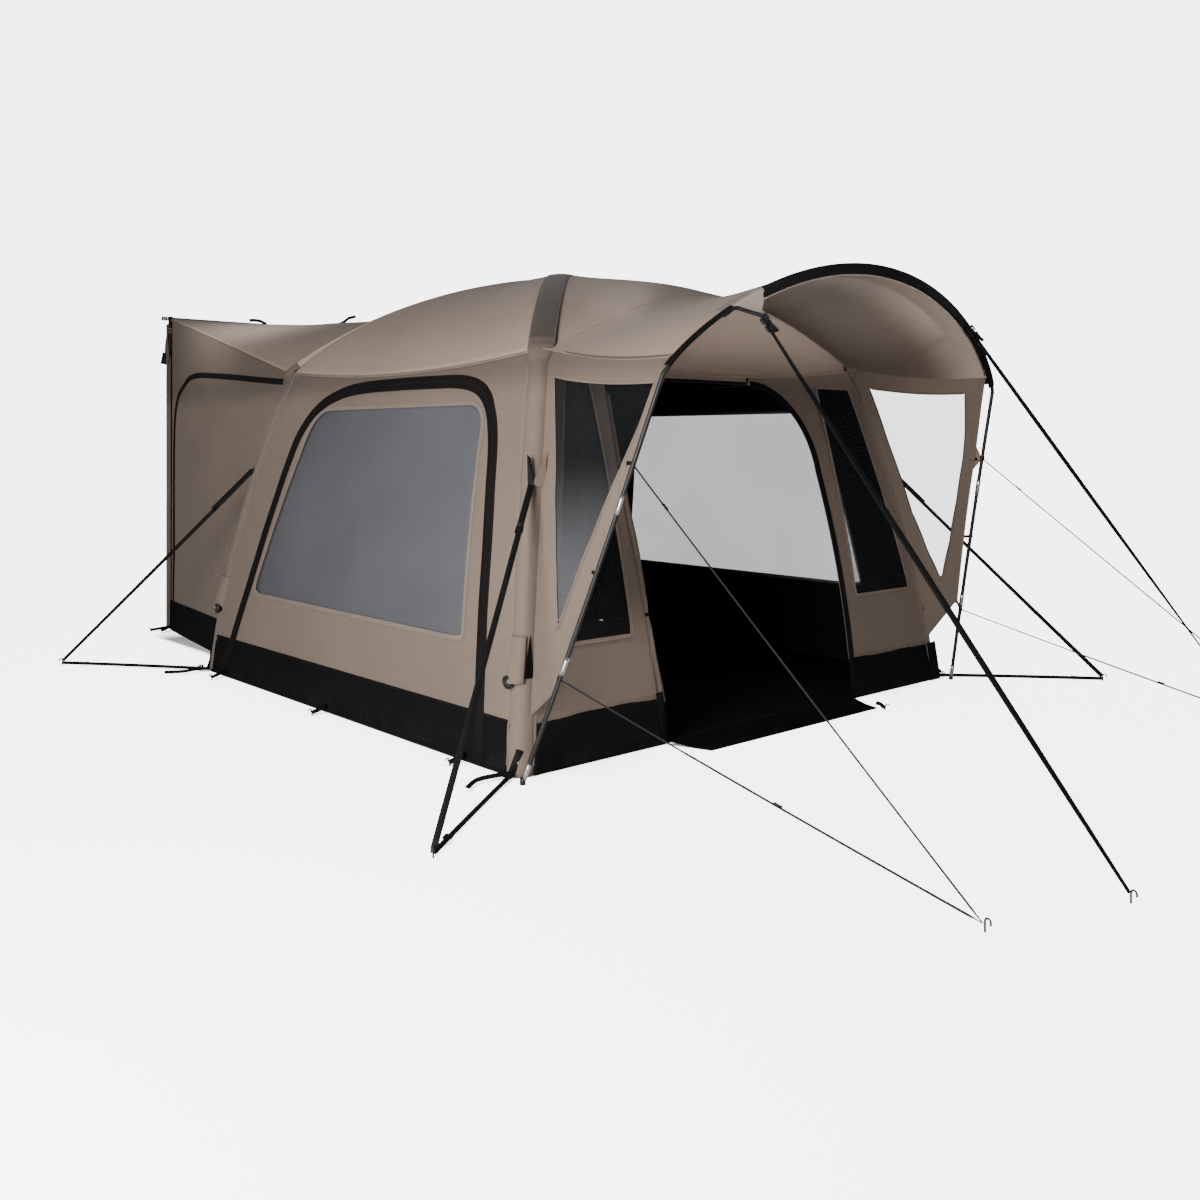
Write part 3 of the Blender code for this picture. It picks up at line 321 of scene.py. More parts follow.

# The wall cloth darkens from 1.66 m to 1.84 m up: painted shade under the roof's edge
WALL = cloth_material("wall_cloth", TAUPE, by_height=[(1.66, 1.84, 1.0, 0.60)])
# Gable, door header and hem: a lighter copy of the wall cloth, painted light
FRONT = cloth_material("front_cloth", (0.222, 0.172, 0.138))
# Front walls: a darker copy of the wall cloth, painted shade of the porch
FRONT_WALL_SHADED = cloth_material("front_wall_cloth_shaded", (0.176, 0.136, 0.109))
# Inner face of the wings: a darker copy of the wall cloth, painted shade
WING_INSIDE_SHADED = cloth_material("wing_inner_cloth_shaded", (0.145, 0.113, 0.091))
# The roof cloth is lighter low down and darker at the crown: painted light and shade by height
ROOF = cloth_material("roof_cloth", ROOF_TAUPE, level=False,
                      by_height=[(1.92, 2.20, 1.20, 1.0), (2.22, 2.48, 1.0, 0.84)])
BAND = cloth_material("beam_sleeve", BAND_TAUPE, level=False, crease=0.002)
MUD = cloth_material("mud_cloth", BLACK, rough=0.75, dusty=0.05, crease=0.010, sheen=0.0,
                     shine=0.08)
# Near-black inner faces: the beams' tubes are black, and on the cloth's inner faces the black is
# painted shade of the closed cabin
INSIDE = cloth_material("inner_black_and_shade", INNER_BLACK, rough=0.9, crease=0.003, sheen=0.0, shine=0.1)
# Canopy underside: a darker copy of the roof cloth as painted shade, with painted light near the
# pole's edge
CANOPY_UNDER_SHADED = cloth_material("canopy_underside_shaded", (0.128, 0.091, 0.068), level=False, crease=0.003,
                       painted_lit_edge=(0.430, 0.342, 0.282))
FLOOR_CLOTH = cloth_material("ground_cloth", (0.010, 0.010, 0.011), rough=0.55, level=False,
                             crease=0.012, sheen=0.0, shine=0.12)
TINTED = film_material("tinted_film", (0.215, 0.222, 0.245), 0.46, (0.66, 0.66, 0.67), 0.3)
CLEAR = film_material("clear_film", (0.10, 0.102, 0.108), 0.07, (0.74, 0.745, 0.75), 0.12)
HAZY = film_material("clear_film_hazy", (0.20, 0.205, 0.22), 0.045, (0.74, 0.745, 0.75), 0.2,
                     (0.72, 1.42, 0.37))
BLIND = cloth_material("window_blind", (0.058, 0.060, 0.068), rough=0.8)
SEAM = band_material("seam_tape", (0.205, 0.162, 0.132), rows=(0.72,), width=0.016)
# Apex patch and gusset by the left strap: a greyer, darker copy of the roof cloth, painted shade
ROOF_SHADED_PATCH = cloth_material("canopy_patch_shaded", (0.200, 0.174, 0.152), level=False, crease=0.002)
SEAM_DARK = band_material("seam_tape_dark", (0.105, 0.090, 0.080), rows=(0.72,), width=0.016)
PIPING = band_material("window_piping", (0.222, 0.180, 0.150), rows=(0.6,), width=0.02)
ZIP = band_material("zip_band", (0.0085, 0.0070, 0.0072), rows=(0.84,), zipper=True, width=0.07,
                    thread=(0.018, 0.016, 0.017), sheen=0.0, shine=0.10)
WEB = band_material("webbing", (0.007, 0.007, 0.0072), rough=0.6, rows=(0.62,), ribs=2600.0,
                    width=0.025, thread=(0.02, 0.02, 0.02), sheen=0.0, shine=0.12)
HEM_BLACK = band_material("black_hem", (0.0065, 0.0065, 0.007), rows=(0.7,), width=0.03,
                          thread=(0.014, 0.014, 0.014), sheen=0.0, shine=0.10)
POLE = hard_material("pole_black", (0.009, 0.009, 0.0095), 0.5, 0.0)
STEEL = hard_material("ferrule_steel", (0.62, 0.62, 0.63), 0.3, 1.0)
ALU = hard_material("link_pole_alu", (0.38, 0.39, 0.385), 0.42, 0.4)
PEG = hard_material("peg_steel", (0.035, 0.035, 0.037), 0.45, 0.0)
BUCKLE = hard_material("buckle_plastic", (0.015, 0.015, 0.016), 0.4, 0.0)
LINE = hard_material("guy_line", (0.010, 0.010, 0.0105), 0.75, 0.0, scale=300.0)


# Shapes

def corner_x(z):
    share = z / SHOULDER_Z
    return BASE_X + (SHOULDER_X - BASE_X) * share + 4.0 * LEG_BOW * share * (1.0 - share)


def corner_y(z):
    share = z / SHOULDER_Z
    return BASE_Y + (SHOULDER_Y - BASE_Y) * share + 4.0 * LEG_BOW * share * (1.0 - share)


def beam_height(share):
    rest = 1.0 - min(1.0, max(0.0, share))
    return SHOULDER_Z + (CROWN_Z - SHOULDER_Z) * (1.0 - rest * rest) ** ROOF_CURVE


def side_seam(y):
    return SHOULDER_Z - SIDE_SAG * (1.0 - (y / SHOULDER_Y) ** 2)


def front_seam(x):
    return SHOULDER_Z - DOOR_SEAM_SAG * (1.0 - (x / SHOULDER_X) ** 2)


def arc(x, rise, power):
    return SHOULDER_Z + rise * max(0.0, 1.0 - (x / SHOULDER_X) ** 2) ** power


def front_arc(x):
    return arc(x, FRONT_ARC, FRONT_ARC_POWER)


def rear_arc(x):
    return arc(x, REAR_ARC, REAR_ARC_POWER)


def arch_x(z):
    lean = ARCH_FOOT_X - ARCH_SHOULDER_X + ARCH_BOW * ARCH_SHOULDER_Z ** 2
    return ARCH_FOOT_X - lean * z / ARCH_SHOULDER_Z + ARCH_BOW * z * z


def arch_y(z):
    return ARCH_FOOT_Y - ARCH_LEAN * z


def arch_top(x):
    share = max(0.0, 1.0 - (x / ARCH_SHOULDER_X) ** 2)
    return ARCH_SHOULDER_Z + (ARCH_TOP_Z - ARCH_SHOULDER_Z) * share ** ARCH_POWER


def arch_skew(z):
    return ARCH_SKEW * min(1.0, z / ARCH_SHOULDER_Z)


def door_edge(z, side):
    """Distance of the doorway's edge from the middle, upright at the left, leaning at the right."""
    if side < 0:
        share = min(1.0, z / DOOR_LEFT_BEND_Z)
        return DOOR_LEFT_LOW + (DOOR_LEFT_HIGH - DOOR_LEFT_LOW) * share
    if z <= DOOR_ROUND_Z:
        return DOOR_RIGHT_LOW + (DOOR_RIGHT_HIGH - DOOR_RIGHT_LOW) * (z / DOOR_ROUND_Z) ** 2
    share = (z - DOOR_ROUND_Z) / (DOOR_TOP_Z - DOOR_ROUND_Z)
    return DOOR_ROUND_X + (DOOR_RIGHT_HIGH - DOOR_ROUND_X) * math.sqrt(max(0.0, 1.0 - share ** 2))


def space(start, stop, count):
    return [start + (stop - start) * k / (count - 1) for k in range(count)]


def lerp(a, b, t):
    return a + (b - a) * t


def smooth(t):
    t = min(1.0, max(0.0, t))
    return t * t * (3.0 - 2.0 * t)


def fbm(points, scale, seed, octaves=2):
    """Smooth noise at each point, about -1 to 1, the same each run."""
    shift = Vector((seed * 7.31, seed * 3.77, seed * 5.13))
    values = np.zeros(len(points))
    for k, p in enumerate(points):
        q = Vector(p) * scale + shift
        value, share = 0.0, 1.0
        for _ in range(octaves):
            value += noise.noise(q) * share
            q = q * 2.03
            share *= 0.5
        values[k] = value
    return values


def normals_of(grid, wrap=False):
    """Normals of a grid of points, pointing to one side all over."""
    along = np.gradient(grid, axis=0)
    if wrap:
        across = (np.roll(grid, -1, axis=1) - np.roll(grid, 1, axis=1)) / 2
    else:
        across = np.gradient(grid, axis=1)
    normal = np.cross(along, across)
    length = np.linalg.norm(normal, axis=2, keepdims=True)
    return normal / np.maximum(length, 1e-9)


def facing(grid, centre, wrap=False):
    """Normals turned away from a point inside."""
    normal = normals_of(grid, wrap)
    away = ((grid - np.array(centre)) * normal).sum()
    return normal if away > 0 else -normal


def make_mesh(name, points, faces, materials, indices=None, uvs=None, smooth_shade=True):
    mesh = bpy.data.meshes.new(name)
    mesh.from_pydata([tuple(p) for p in points], [], faces)
    for material in materials:
        mesh.materials.append(material)
    if indices is not None:
        mesh.polygons.foreach_set("material_index", indices)
    if uvs is not None:
        layer = mesh.uv_layers.new(name="along")
        for loop in mesh.loops:
            layer.data[loop.index].uv = uvs[loop.vertex_index]
    work = bmesh.new()
    work.from_mesh(mesh)
    bmesh.ops.recalc_face_normals(work, faces=work.faces)
    for face in work.faces:
        face.smooth = smooth_shade
    work.to_mesh(mesh)
    work.free()
    mesh.update()
    return link(bpy.data.objects.new(name, mesh))


def finish_piece(item, slot, nodes=()):
    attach(item, "root")
    if nodes:
        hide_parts(*nodes)
    return item


def double_faces(rows, columns, size, wrap):
    """Faces of a grid and of the same grid behind it, and the numbers of the grid's points."""
    index = np.arange(rows * columns).reshape(rows, columns)
    if wrap:
        index = np.hstack([index, index[:, :1]])
    quads = np.stack([index[:-1, :-1], index[:-1, 1:], index[1:, 1:], index[1:, :-1]], axis=-1)
    faces = []
    for quad in quads.reshape(-1, 4).tolist():
        faces += [quad, [size + k for k in reversed(quad)]]
    return faces, index


def rim_faces(edge, size):
    """Faces that close a thin sheet along one of its edges."""
    edge = edge.tolist()
    return [(a, b, size + b, size + a) for a, b in zip(edge, edge[1:])]


def shell(name, grid, normal, thick, materials, wrap=False):
    """A closed thin sheet: the outer face is the grid, the inner one lies behind it."""
    inner = grid - normal * thick
    points = np.concatenate([grid.reshape(-1, 3), inner.reshape(-1, 3)])
    size = len(points) // 2
    faces, index = double_faces(*grid.shape[:2], size, wrap)
    indices = [0, 1] * (len(faces) // 2)
    for edge in (index[0], index[-1]) if wrap else (index[0], index[-1], index[:, 0], index[:, -1]):
        faces += rim_faces(edge, size)
    indices += [0] * (len(faces) - len(indices))
    return make_mesh(name, points, faces, materials, indices)


def cloth_area(item):
    """Area of the sheet's one side."""
    return sum(face.area for face in item.data.polygons) / 2.0


def as_sheet(item):
    """Works out a cloth sheet's flat cut, its own area in the rectangle that holds it, and gives
    the sheet back.
    """
    box = np.array([tuple(v.co) for v in item.data.vertices])
    area = cloth_area(item)
    spans = sorted(box.max(0) - box.min(0))
    width = max(spans[1], 0.05)
    length = max(spans[2], area / width)
    if area < 0.35 * width * length:
        width = area / 0.35 / length
    return item


def sheet_piece(name, grid, normal, thick, materials, slot, nodes, wrap=False):
    item = shell(name, grid, normal, thick, materials, wrap)
    return as_sheet(finish_piece(item, slot, nodes))


def edge_fade(rows, columns, reach=4, wrap=False):
    """0 at the grid's edges, 1 further in."""
    fade = np.ones((rows, columns))
    for i in range(rows):
        fade[i, :] *= smooth(min(i, rows - 1 - i) / reach)
    if not wrap:
        for j in range(columns):
            fade[:, j] *= smooth(min(j, columns - 1 - j) / reach)
    return fade


def crumple(grid, normal, amount, scale=1.6, seed=1, reach=4, wrap=False, folds=()):
    """Soft waves in taut cloth, and folds that spread from the points that pull on it."""
    rows, columns = grid.shape[:2]
    flat = grid.reshape(-1, 3)
    depth = fbm(flat, scale, seed) * amount + fbm(flat, scale * 3.1, seed + 5) * amount * 0.3
    for origin, toward, spread, length, height, count in folds:
        depth += fan(flat, normal.reshape(-1, 3), origin, toward, spread, length, height, count)
    fade = edge_fade(rows, columns, reach, wrap).reshape(-1)
    moved = flat + normal.reshape(-1, 3) * (depth * fade)[:, None]
    return moved.reshape(grid.shape)


def fan(points, normal, origin, toward, spread, length, height, count):
    """Folds that spread like a fan from one point."""
    away = points - np.array(origin)
    reach = np.linalg.norm(away, axis=1)
    aim = np.array(toward, float)
    aim /= np.linalg.norm(aim)
    along = away @ aim
    sideways = np.einsum("ij,ij->i", np.cross(away, aim[None, :]), normal)
    angle = np.arctan2(sideways, along)
    window = np.clip(1.0 - np.abs(angle) / spread, 0.0, 1.0)
    near = np.clip((reach - 0.06) / 0.34, 0.0, 1.0)
    strength = np.exp(-reach / length) * near * near * (3.0 - 2.0 * near)
    return height * strength * np.cos(angle / spread * math.pi * count) * window


def up(z):
    return Vector((0.0, 0.0, z))


def spread(out, path):
    """An outward direction for each point of the path, from a list or from one direction."""
    return [Vector(way) for way in out] if isinstance(out, list) else [Vector(out)] * len(path)


def walk(path, closed=False):
    """Each point of a path with the path's direction and its length so far."""
    count, run = len(path), 0.0
    for k, point in enumerate(path):
        ahead = path[(k + 1) % count] if closed else path[min(k + 1, count - 1)]
        back = path[k - 1] if closed or k else path[0]
        if k:
            run += (point - path[k - 1]).length
        yield point, (ahead - back).normalized(), run


def ring_faces(rings, size, closed=False):
    """Faces between rings of points; the end rings are closed where the rings don't join."""
    faces = []
    for k in range(rings if closed else rings - 1):
        n = (k + 1) % rings
        faces += [(k * size + m, k * size + (m + 1) % size, n * size + (m + 1) % size,
                   n * size + m) for m in range(size)]
    if not closed:
        faces += [tuple(range(size)), tuple((rings - 1) * size + m for m in range(size))]
    return faces


def ribbon(name, path, out, width, material, slot, lift=0.0008, height=0.0016, crown=0.3,
           closed=False, nodes=(), on=None):
    """A flat band along a path on a surface, with UVs in metres along it and -1 to 1 across."""
    path = [Vector(p) for p in path]
    profile = [(-1.0, 0.0), (-0.94, 0.8), (-0.5, 1.0), (0.0, 1.0 + crown), (0.5, 1.0),
               (0.94, 0.8), (1.0, 0.0), (0.0, 0.0)]
    points, uvs = [], []
    for (point, along, run), way in zip(walk(path, closed), spread(out, path)):
        way = way.normalized()
        side = along.cross(way).normalized()
        above = side.cross(along).normalized()
        if above.dot(way) < 0:
            above = -above
        for a, b in profile:
            spot = point + side * (a * width / 2)
            hit = on.ray_cast(spot + above * SEARCH_START, -above, SEARCH_REACH)[0] if on else None
            points.append((hit or spot) + above * (lift + b * height))
            uvs.append((run, a))
    faces = ring_faces(len(path), len(profile), closed)
    return finish_piece(make_mesh(name, points, faces, [material], uvs=uvs), slot, nodes)


def tube(name, path, radius, material, slot, sides=10, nodes=(), radii=None):
    """A round tube along a path, with capped ends."""
    path = [Vector(p) for p in path]
    points, uvs = [], []
    flat = None
    for k, (point, along, run) in enumerate(walk(path)):
        if flat is None:
            flat = along.cross(up(1.0))
            if flat.length < 1e-3:
                flat = Vector((1.0, 0.0, 0.0))
        flat = (flat - along * flat.dot(along)).normalized()
        above = along.cross(flat)
        size = radii[k] if radii else radius
        for m in range(sides):
            turn = 2.0 * math.pi * m / sides
            points.append(point + flat * size * math.cos(turn) + above * size * math.sin(turn))
            uvs.append((run, math.cos(turn)))
    item = make_mesh(name, points, ring_faces(len(path), sides), [material], uvs=uvs)
    return finish_piece(item, slot, nodes)


def grid_of(function, first, second):
    return np.array([[function(a, b) for b in second] for a in first], float)


# Roof

def panel_height(share, edge_corner, middle_rim, drop, shape, station):
    """Height of a roof panel: on the beams at its sides, and on its seam at its rim."""
    edge = beam_height(station)
    rim_drop = beam_height(station + share - 1.0) - edge_corner
    blend = share ** 6
    edge = edge - rim_drop * blend - 0.004 * (1.0 - blend)
    return edge + ((middle_rim - edge_corner) * share ** 2
                   - drop * 4.0 * share * (1.0 - share)) * shape


def side_roof_point(side, share, across):
    """Point of a side roof panel: share from the crown to the rim, across from -1 to 1."""
    inset = LEG_IN_Y
    y = across * (SHOULDER_Y * share - inset)
    shape = 1.0 - across * across
    station = 1.0 - share + BEAM_HALF * SHOULDER_Y / SHOULDER_X / DIAGONAL
    z = panel_height(share, side_seam(SHOULDER_Y - inset), side_seam(0.0), 0.0, shape, station)
    rim_out = corner_x(side_seam(y)) - SHOULDER_X
    return (side * (SHOULDER_X * share + rim_out * share ** 6), y, z)


def rounding(x, ahead):
    """Lift that rounds off the crease between the front roof and the canopy, ahead of which a
    point lies by a distance."""
    reach = CREASE_REACH * (1.0 - (x / SHOULDER_X) ** 8)
    if reach <= abs(ahead):
        return 0.0
    share = 1.0 - abs(x) / SHOULDER_X
    return CREASE_TURN * smooth(share * 6.0) * (reach - abs(ahead)) ** 2 / (4.0 * reach)


def end_roof_point(seam, sign_y, drop, share, across):
    """Point of the front or rear roof panel: share from the crown to the rim."""
    inset = LEG_IN_X
    edge_x = SHOULDER_X - inset
    x = across * (SHOULDER_X * share - inset)
    shape = (seam(across * edge_x) - seam(edge_x)) / (seam(0.0) - seam(edge_x))
    station = 1.0 - share + BEAM_HALF * SHOULDER_X / SHOULDER_Y / DIAGONAL
    z = panel_height(min(share, 1.0), seam(edge_x), seam(0.0), drop, shape, station)
    if sign_y < 0:
        z += rounding(x, SHOULDER_Y * (share - 1.0))
    return (x, sign_y * SHOULDER_Y * share, z)


def roof():
    across = space(-1.0, 1.0, 70)
    inset = SHOULDER_Y - LEG_IN_Y
    for side, label in SIDES:
        grid = grid_of(lambda s, a: side_roof_point(side, s, a), space(1.0, HUB_SHARE, 44), across)
        folds = [((side * SHOULDER_X, sign * inset, SHOULDER_Z), (-side * 0.25, -sign, 0.0),
                  0.8, 0.45, 0.006, 2.5) for sign in (-1, 1)]
        roof_panel(label, grid, 3 + side, 0.006,
                   folds)
    for label, seam, sign, drop in (("front", front_arc, -1, FRONT_HALFWAY_DROP),
                                    ("rear", rear_arc, 1, 0.0)):
        grid = grid_of(lambda s, a: end_roof_point(seam, sign, drop, s, a),
                       space(1.002, HUB_SHARE, 44), across)
        folds = [((x * (SHOULDER_X - LEG_IN_X), sign * SHOULDER_Y, SHOULDER_Z),
                  (-x, -sign * 0.25, 0.1), 0.8, 0.4, 0.006, 2.5) for x in (-1, 1)]
        roof_panel(label, grid, 9 + sign,
                   0.003 if sign < 0 else 0.006, folds)


def roof_panel(label, grid, seed, amount, folds):
    cloth_panel(f"roof_{label}", grid, [ROOF, INSIDE], "roof_cloth",
                seed, amount, folds, reach=4, scale=1.3)


FIRST_SHARE = BEAM_HALF * SHOULDER_Y / SHOULDER_X / DIAGONAL
OTHER_SHARE = BEAM_HALF * SHOULDER_X / SHOULDER_Y / DIAGONAL


def beam_spot(sx, sy, share, a, b):
    """Point of a beam's sleeve: a across it, b up from its line."""
    inward = Vector((-sx * SHOULDER_X, -sy * SHOULDER_Y, 0.0)) / DIAGONAL
    sideways = Vector((-sx * SHOULDER_Y, sy * SHOULDER_X, 0.0)) / DIAGONAL
    begin = (FIRST_SHARE + OTHER_SHARE) / 2 + (OTHER_SHARE - FIRST_SHARE) / 2 * a / BEAM_HALF
    stop = 1.0 - (HUB_SHARE * 2 - FIRST_SHARE - OTHER_SHARE) / 2
    place = begin * 0.4 + (stop - begin * 0.4) * share
    rise = (beam_height(place + 0.01) - beam_height(place - 0.01)) / (0.02 * DIAGONAL)
    slope = math.atan(rise) * (1.0 - max(0.0, share)) ** 0.5
    spot = Vector((sx * SHOULDER_X, sy * SHOULDER_Y, beam_height(place)))
    spot += inward * (place * DIAGONAL - b * math.sin(slope)) + sideways * a
    return spot + up(b * math.cos(slope))


def beams():
    """Sleeves of the air beams: a dark band over the roof, and the inflated tube under it."""
    section = [(-BEAM_HALF * 1.08 * math.cos(turn), 0.011 * math.sin(turn) - 0.006)
               for turn in space(0.0, math.pi, 9)]
    section += [(BEAM_HALF * 0.94 * math.cos(turn), -0.016 - 0.09 * math.sin(turn))
                for turn in space(0.0, math.pi, 13)[1:-1]]
    count = len(section)
    for sy, front in ((-1, "front"), (1, "rear")):
        for sx, label in SIDES:
            beam = f"{front}_{label}"
            rings = [[beam_spot(sx, sy, share, a, b) for a, b in section]
                     for share in space(-0.02, 1.0, 40)]
            padded_rings(f"beam_band_{beam}", rings, [BAND if sy < 0 else ROOF, INSIDE, WALL],
                         "beam_sleeve",
                         lambda k: 1 if 11 <= k % count <= 16 else 0 if k >= 2 * count else 2,
                         [f"beam_{beam}"])
            leg(sx, sy, beam)
            out = [ring[4] - ring[14] for ring in rings[1::2]]
            for edge, column in (("a", 1), ("b", 7)):
                path = [ring[column] for ring in rings[1::2]]
                ribbon(f"beam_seam_{beam}_{edge}", path, out, 0.010,
                       SEAM_DARK if sy < 0 else SEAM, "beam_sleeve", lift=0.0002, height=0.0008)


def padded_rings(name, rings, materials, slot, pick, nodes=()):
    """A closed sleeve through rings of points, with a material for each face."""
    points = [p for ring in rings for p in ring]
    faces = ring_faces(len(rings), len(rings[0]))
    item = make_mesh(name, points, faces, materials, [pick(face[0]) for face in faces])
    finish_piece(item, slot, nodes)


LEG_ROUND, LEG_DEPTH = 0.058, 0.055


def leg_section(bulge):
    """Points round a leg, as distances in from the corner: round outside, a half tube inside."""
    ring = [(0.0, LEG_IN_Y)]
    for turn in space(0.0, math.pi / 2, 9):
        push = bulge * math.sin(2 * turn) * 0.7
        ring.append((LEG_ROUND * (1 - math.cos(turn)) - push,
                     LEG_ROUND * (1 - math.sin(turn)) - push))
    ring.append((LEG_IN_X, 0.0))
    along = Vector((-LEG_IN_X, LEG_IN_Y)) / 2
    inwards = Vector((LEG_IN_Y, LEG_IN_X)).normalized() * LEG_DEPTH
    for turn in space(0.0, math.pi, 11)[1:-1]:
        ring.append(Vector((LEG_IN_X, LEG_IN_Y)) / 2 - along * math.cos(turn)
                    + inwards * math.sin(turn))
    return ring


def leg(sx, sy, label):
    """Leg of an air beam: a rounded corner outside and a round tube inside."""
    rings = []
    for z in space(0.004, SHOULDER_Z + 0.012, 48):
        section = leg_section(0.006 * math.sin(math.pi * min(1.0, z / SHOULDER_Z)) ** 0.5)
        rings.append([Vector((sx * (corner_x(z) - a), sy * (corner_y(z) - b), z))
                      for a, b in section])
    wave = fbm([ring[5] for ring in rings], 2.2, 2.0 + sx + 2 * sy)
    for k, ring in enumerate(rings):
        push = Vector((sx, sy, 0.0)) * wave[k] * 0.0025
        ring[2:10] = [spot + push for spot in ring[2:10]]
    count = len(rings[0])
    padded_rings(f"leg_{label}_sleeve", rings, [WALL, INSIDE], "wall_cloth",
                 lambda first: 0 if first % count <= 9 else 1)
    corner = [(sx * x, sy * y, 0.004) for x, y in (
        (1.62, 1.50), (1.62, 1.56), (1.56, 1.62), (1.50, 1.62), (1.46, 1.46))]
    tab(f"floor_corner_{label}", corner, (0.0, 0.0, 1.0), FLOOR_CLOTH, "mud_cloth", 0.002)
    for edge, index, outward in (("side", 0, Vector((sx, 0.0, 0.0))),
                                 ("end", 10, Vector((0.0, sy, 0.0)))):
        # Lining behind the seam, so that no light shows between the leg and the wall
        path = [ring[index] - outward * 0.014 for ring in rings[:-2:4]]
        strap(f"leg_lining_{edge}_{label}", path, -outward, 0.07, material=INSIDE,
              slot="wall_cloth")
        width, material, height = (0.012, SEAM, 0.0014) if sy < 0 else (0.008, WALL, 0.0003)
        ribbon(f"leg_seam_{edge}_{label}", [ring[index] for ring in rings[1:-1:2]], outward,
               width, material, "wall_cloth", lift=0.0002, height=height)


def hub():
    """Crossing of the beams: a domed eight-sided patch."""
    rings = []
    hub_x, hub_y = SHOULDER_X * HUB_SHARE + 0.004, SHOULDER_Y * HUB_SHARE + 0.004
    flat_x, flat_y = SHOULDER_X * HUB_SHARE - LEG_IN_X, SHOULDER_Y * HUB_SHARE - LEG_IN_Y
    outline = [(hub_x, -flat_y), (hub_x, flat_y), (flat_x, hub_y), (-flat_x, hub_y),
               (-hub_x, flat_y), (-hub_x, -flat_y), (-flat_x, -hub_y), (flat_x, -hub_y)]
    dense = []
    for a, b in zip(outline, outline[1:] + outline[:1]):
        dense += [(lerp(a[0], b[0], k / 6), lerp(a[1], b[1], k / 6)) for k in range(6)]
    for share in space(1.0, 0.0, 9)[:-1]:
        lift = 0.012 * (1.0 - share ** 2)
        rings.append([(x * share, y * share, CROWN_Z + 0.003 + lift) for x, y in dense])
    count = len(dense)
    points = [(x, y, CROWN_Z - BEAM_DEPTH) for x, y in dense] + [p for r in rings for p in r]
    points += [(0.0, 0.0, CROWN_Z + 0.0152)]
    faces = ring_faces(len(rings) + 1, count)[:-2]
    top = len(rings) * count
    faces += [(top + m, top + (m + 1) % count, len(points) - 1) for m in range(count)]
    faces.append(tuple(range(count)))
    item = make_mesh("crown_patch", points, faces, [BAND])
    finish_piece(item, "beam_sleeve", ["crown_hub"])
    ribbon("crown_patch_seam", rings[0], up(1), 0.012, SEAM_DARK, "beam_sleeve", closed=True)


def resample(chain, count):
    """Evenly spaced points along a chain, without its last one."""
    runs = [0.0]
    for a, b in zip(chain, chain[1:]):
        runs.append(runs[-1] + (Vector(b) - Vector(a)).length)
    spots, index = [], 0
    for k in range(count):
        target = runs[-1] * k / count
        while index < len(chain) - 2 and runs[index + 1] < target:
            index += 1
        share = (target - runs[index]) / max(runs[index + 1] - runs[index], 1e-9)
        spots.append(Vector(chain[index]).lerp(Vector(chain[index + 1]), share))
    return spots


def rounded_loop(corners, radii, count):
    """A polygon with round corners, with even points from mid corner to mid corner."""
    arcs = []
    for k, corner in enumerate(corners):
        here = Vector(corner)
        back = (Vector(corners[k - 1]) - here).normalized()
        ahead = (Vector(corners[(k + 1) % len(corners)]) - here).normalized()
        if radii[k] <= 0.0:
            arcs.append([here])
            continue
        half = back.angle(ahead) / 2.0
        reach = radii[k] / math.tan(half)
        centre = here + (back + ahead).normalized() * radii[k] / math.sin(half)
        first, last = here + back * reach - centre, here + ahead * reach - centre
        arcs.append([centre + first.lerp(last, share).normalized() * radii[k]
                     for share in space(0.0, 1.0, 13)])
    loop = []
    for first, second in zip(arcs, arcs[1:] + arcs[:1]):
        loop += resample(first[len(first) // 2:] + second[:len(second) // 2 + 1], count)
    return loop


def curve_loop(curves, count):
    """A closed loop of points from curves that follow each other."""
    return [curve(share) for curve in curves for share in space(0.0, 1.0, count + 1)[:-1]]


def skin(*items):
    """The pieces' surfaces, for bands that lie on them."""
    points, faces = [], []
    for item in items:
        base = len(points)
        points += [v.co.copy() for v in item.data.vertices]
        faces += [tuple(base + k for k in f.vertices) for f in item.data.polygons]
    return BVHTree.FromPolygons(points, faces)


def on_place(place, flats, centre=(0.0, 0.0, 1.0)):
    """Points and outward directions of a path on a wall."""
    spots, outs = [], []
    for a, b in flats:
        spot = Vector(place(a, b))
        first = Vector(place(a + 0.01, b)) - Vector(place(a - 0.01, b))
        second = Vector(place(a, b + 0.01)) - Vector(place(a, b - 0.01))
        out = first.cross(second).normalized()
        if out.dot(spot - Vector(centre)) < 0:
            out = -out
        spots.append(spot)
        outs.append(out)
    return spots, outs


def window_panel(node, outer, inner, place, material, seed=1, folds=(),
                 centre=(0.0, 0.0, 1.0), rings=14, amount=0.005, back=None):
    """A cloth panel with an opening, from the outer loop to the opening's loop."""
    grid = np.array([[tuple(place(*lerp(np.array(a), np.array(b), share)))
                      for a, b in zip(outer, inner)] for share in space(0.0, 1.0, rings)], float)
    normal = facing(grid, centre, True)
    grid = crumple(grid, normal, amount, 1.6, seed, 4, True, folds)
    return sheet_piece(f"{node}_cloth", grid, normal, CLOTH, [material, back or INSIDE],
                       "wall_cloth", [node], True)


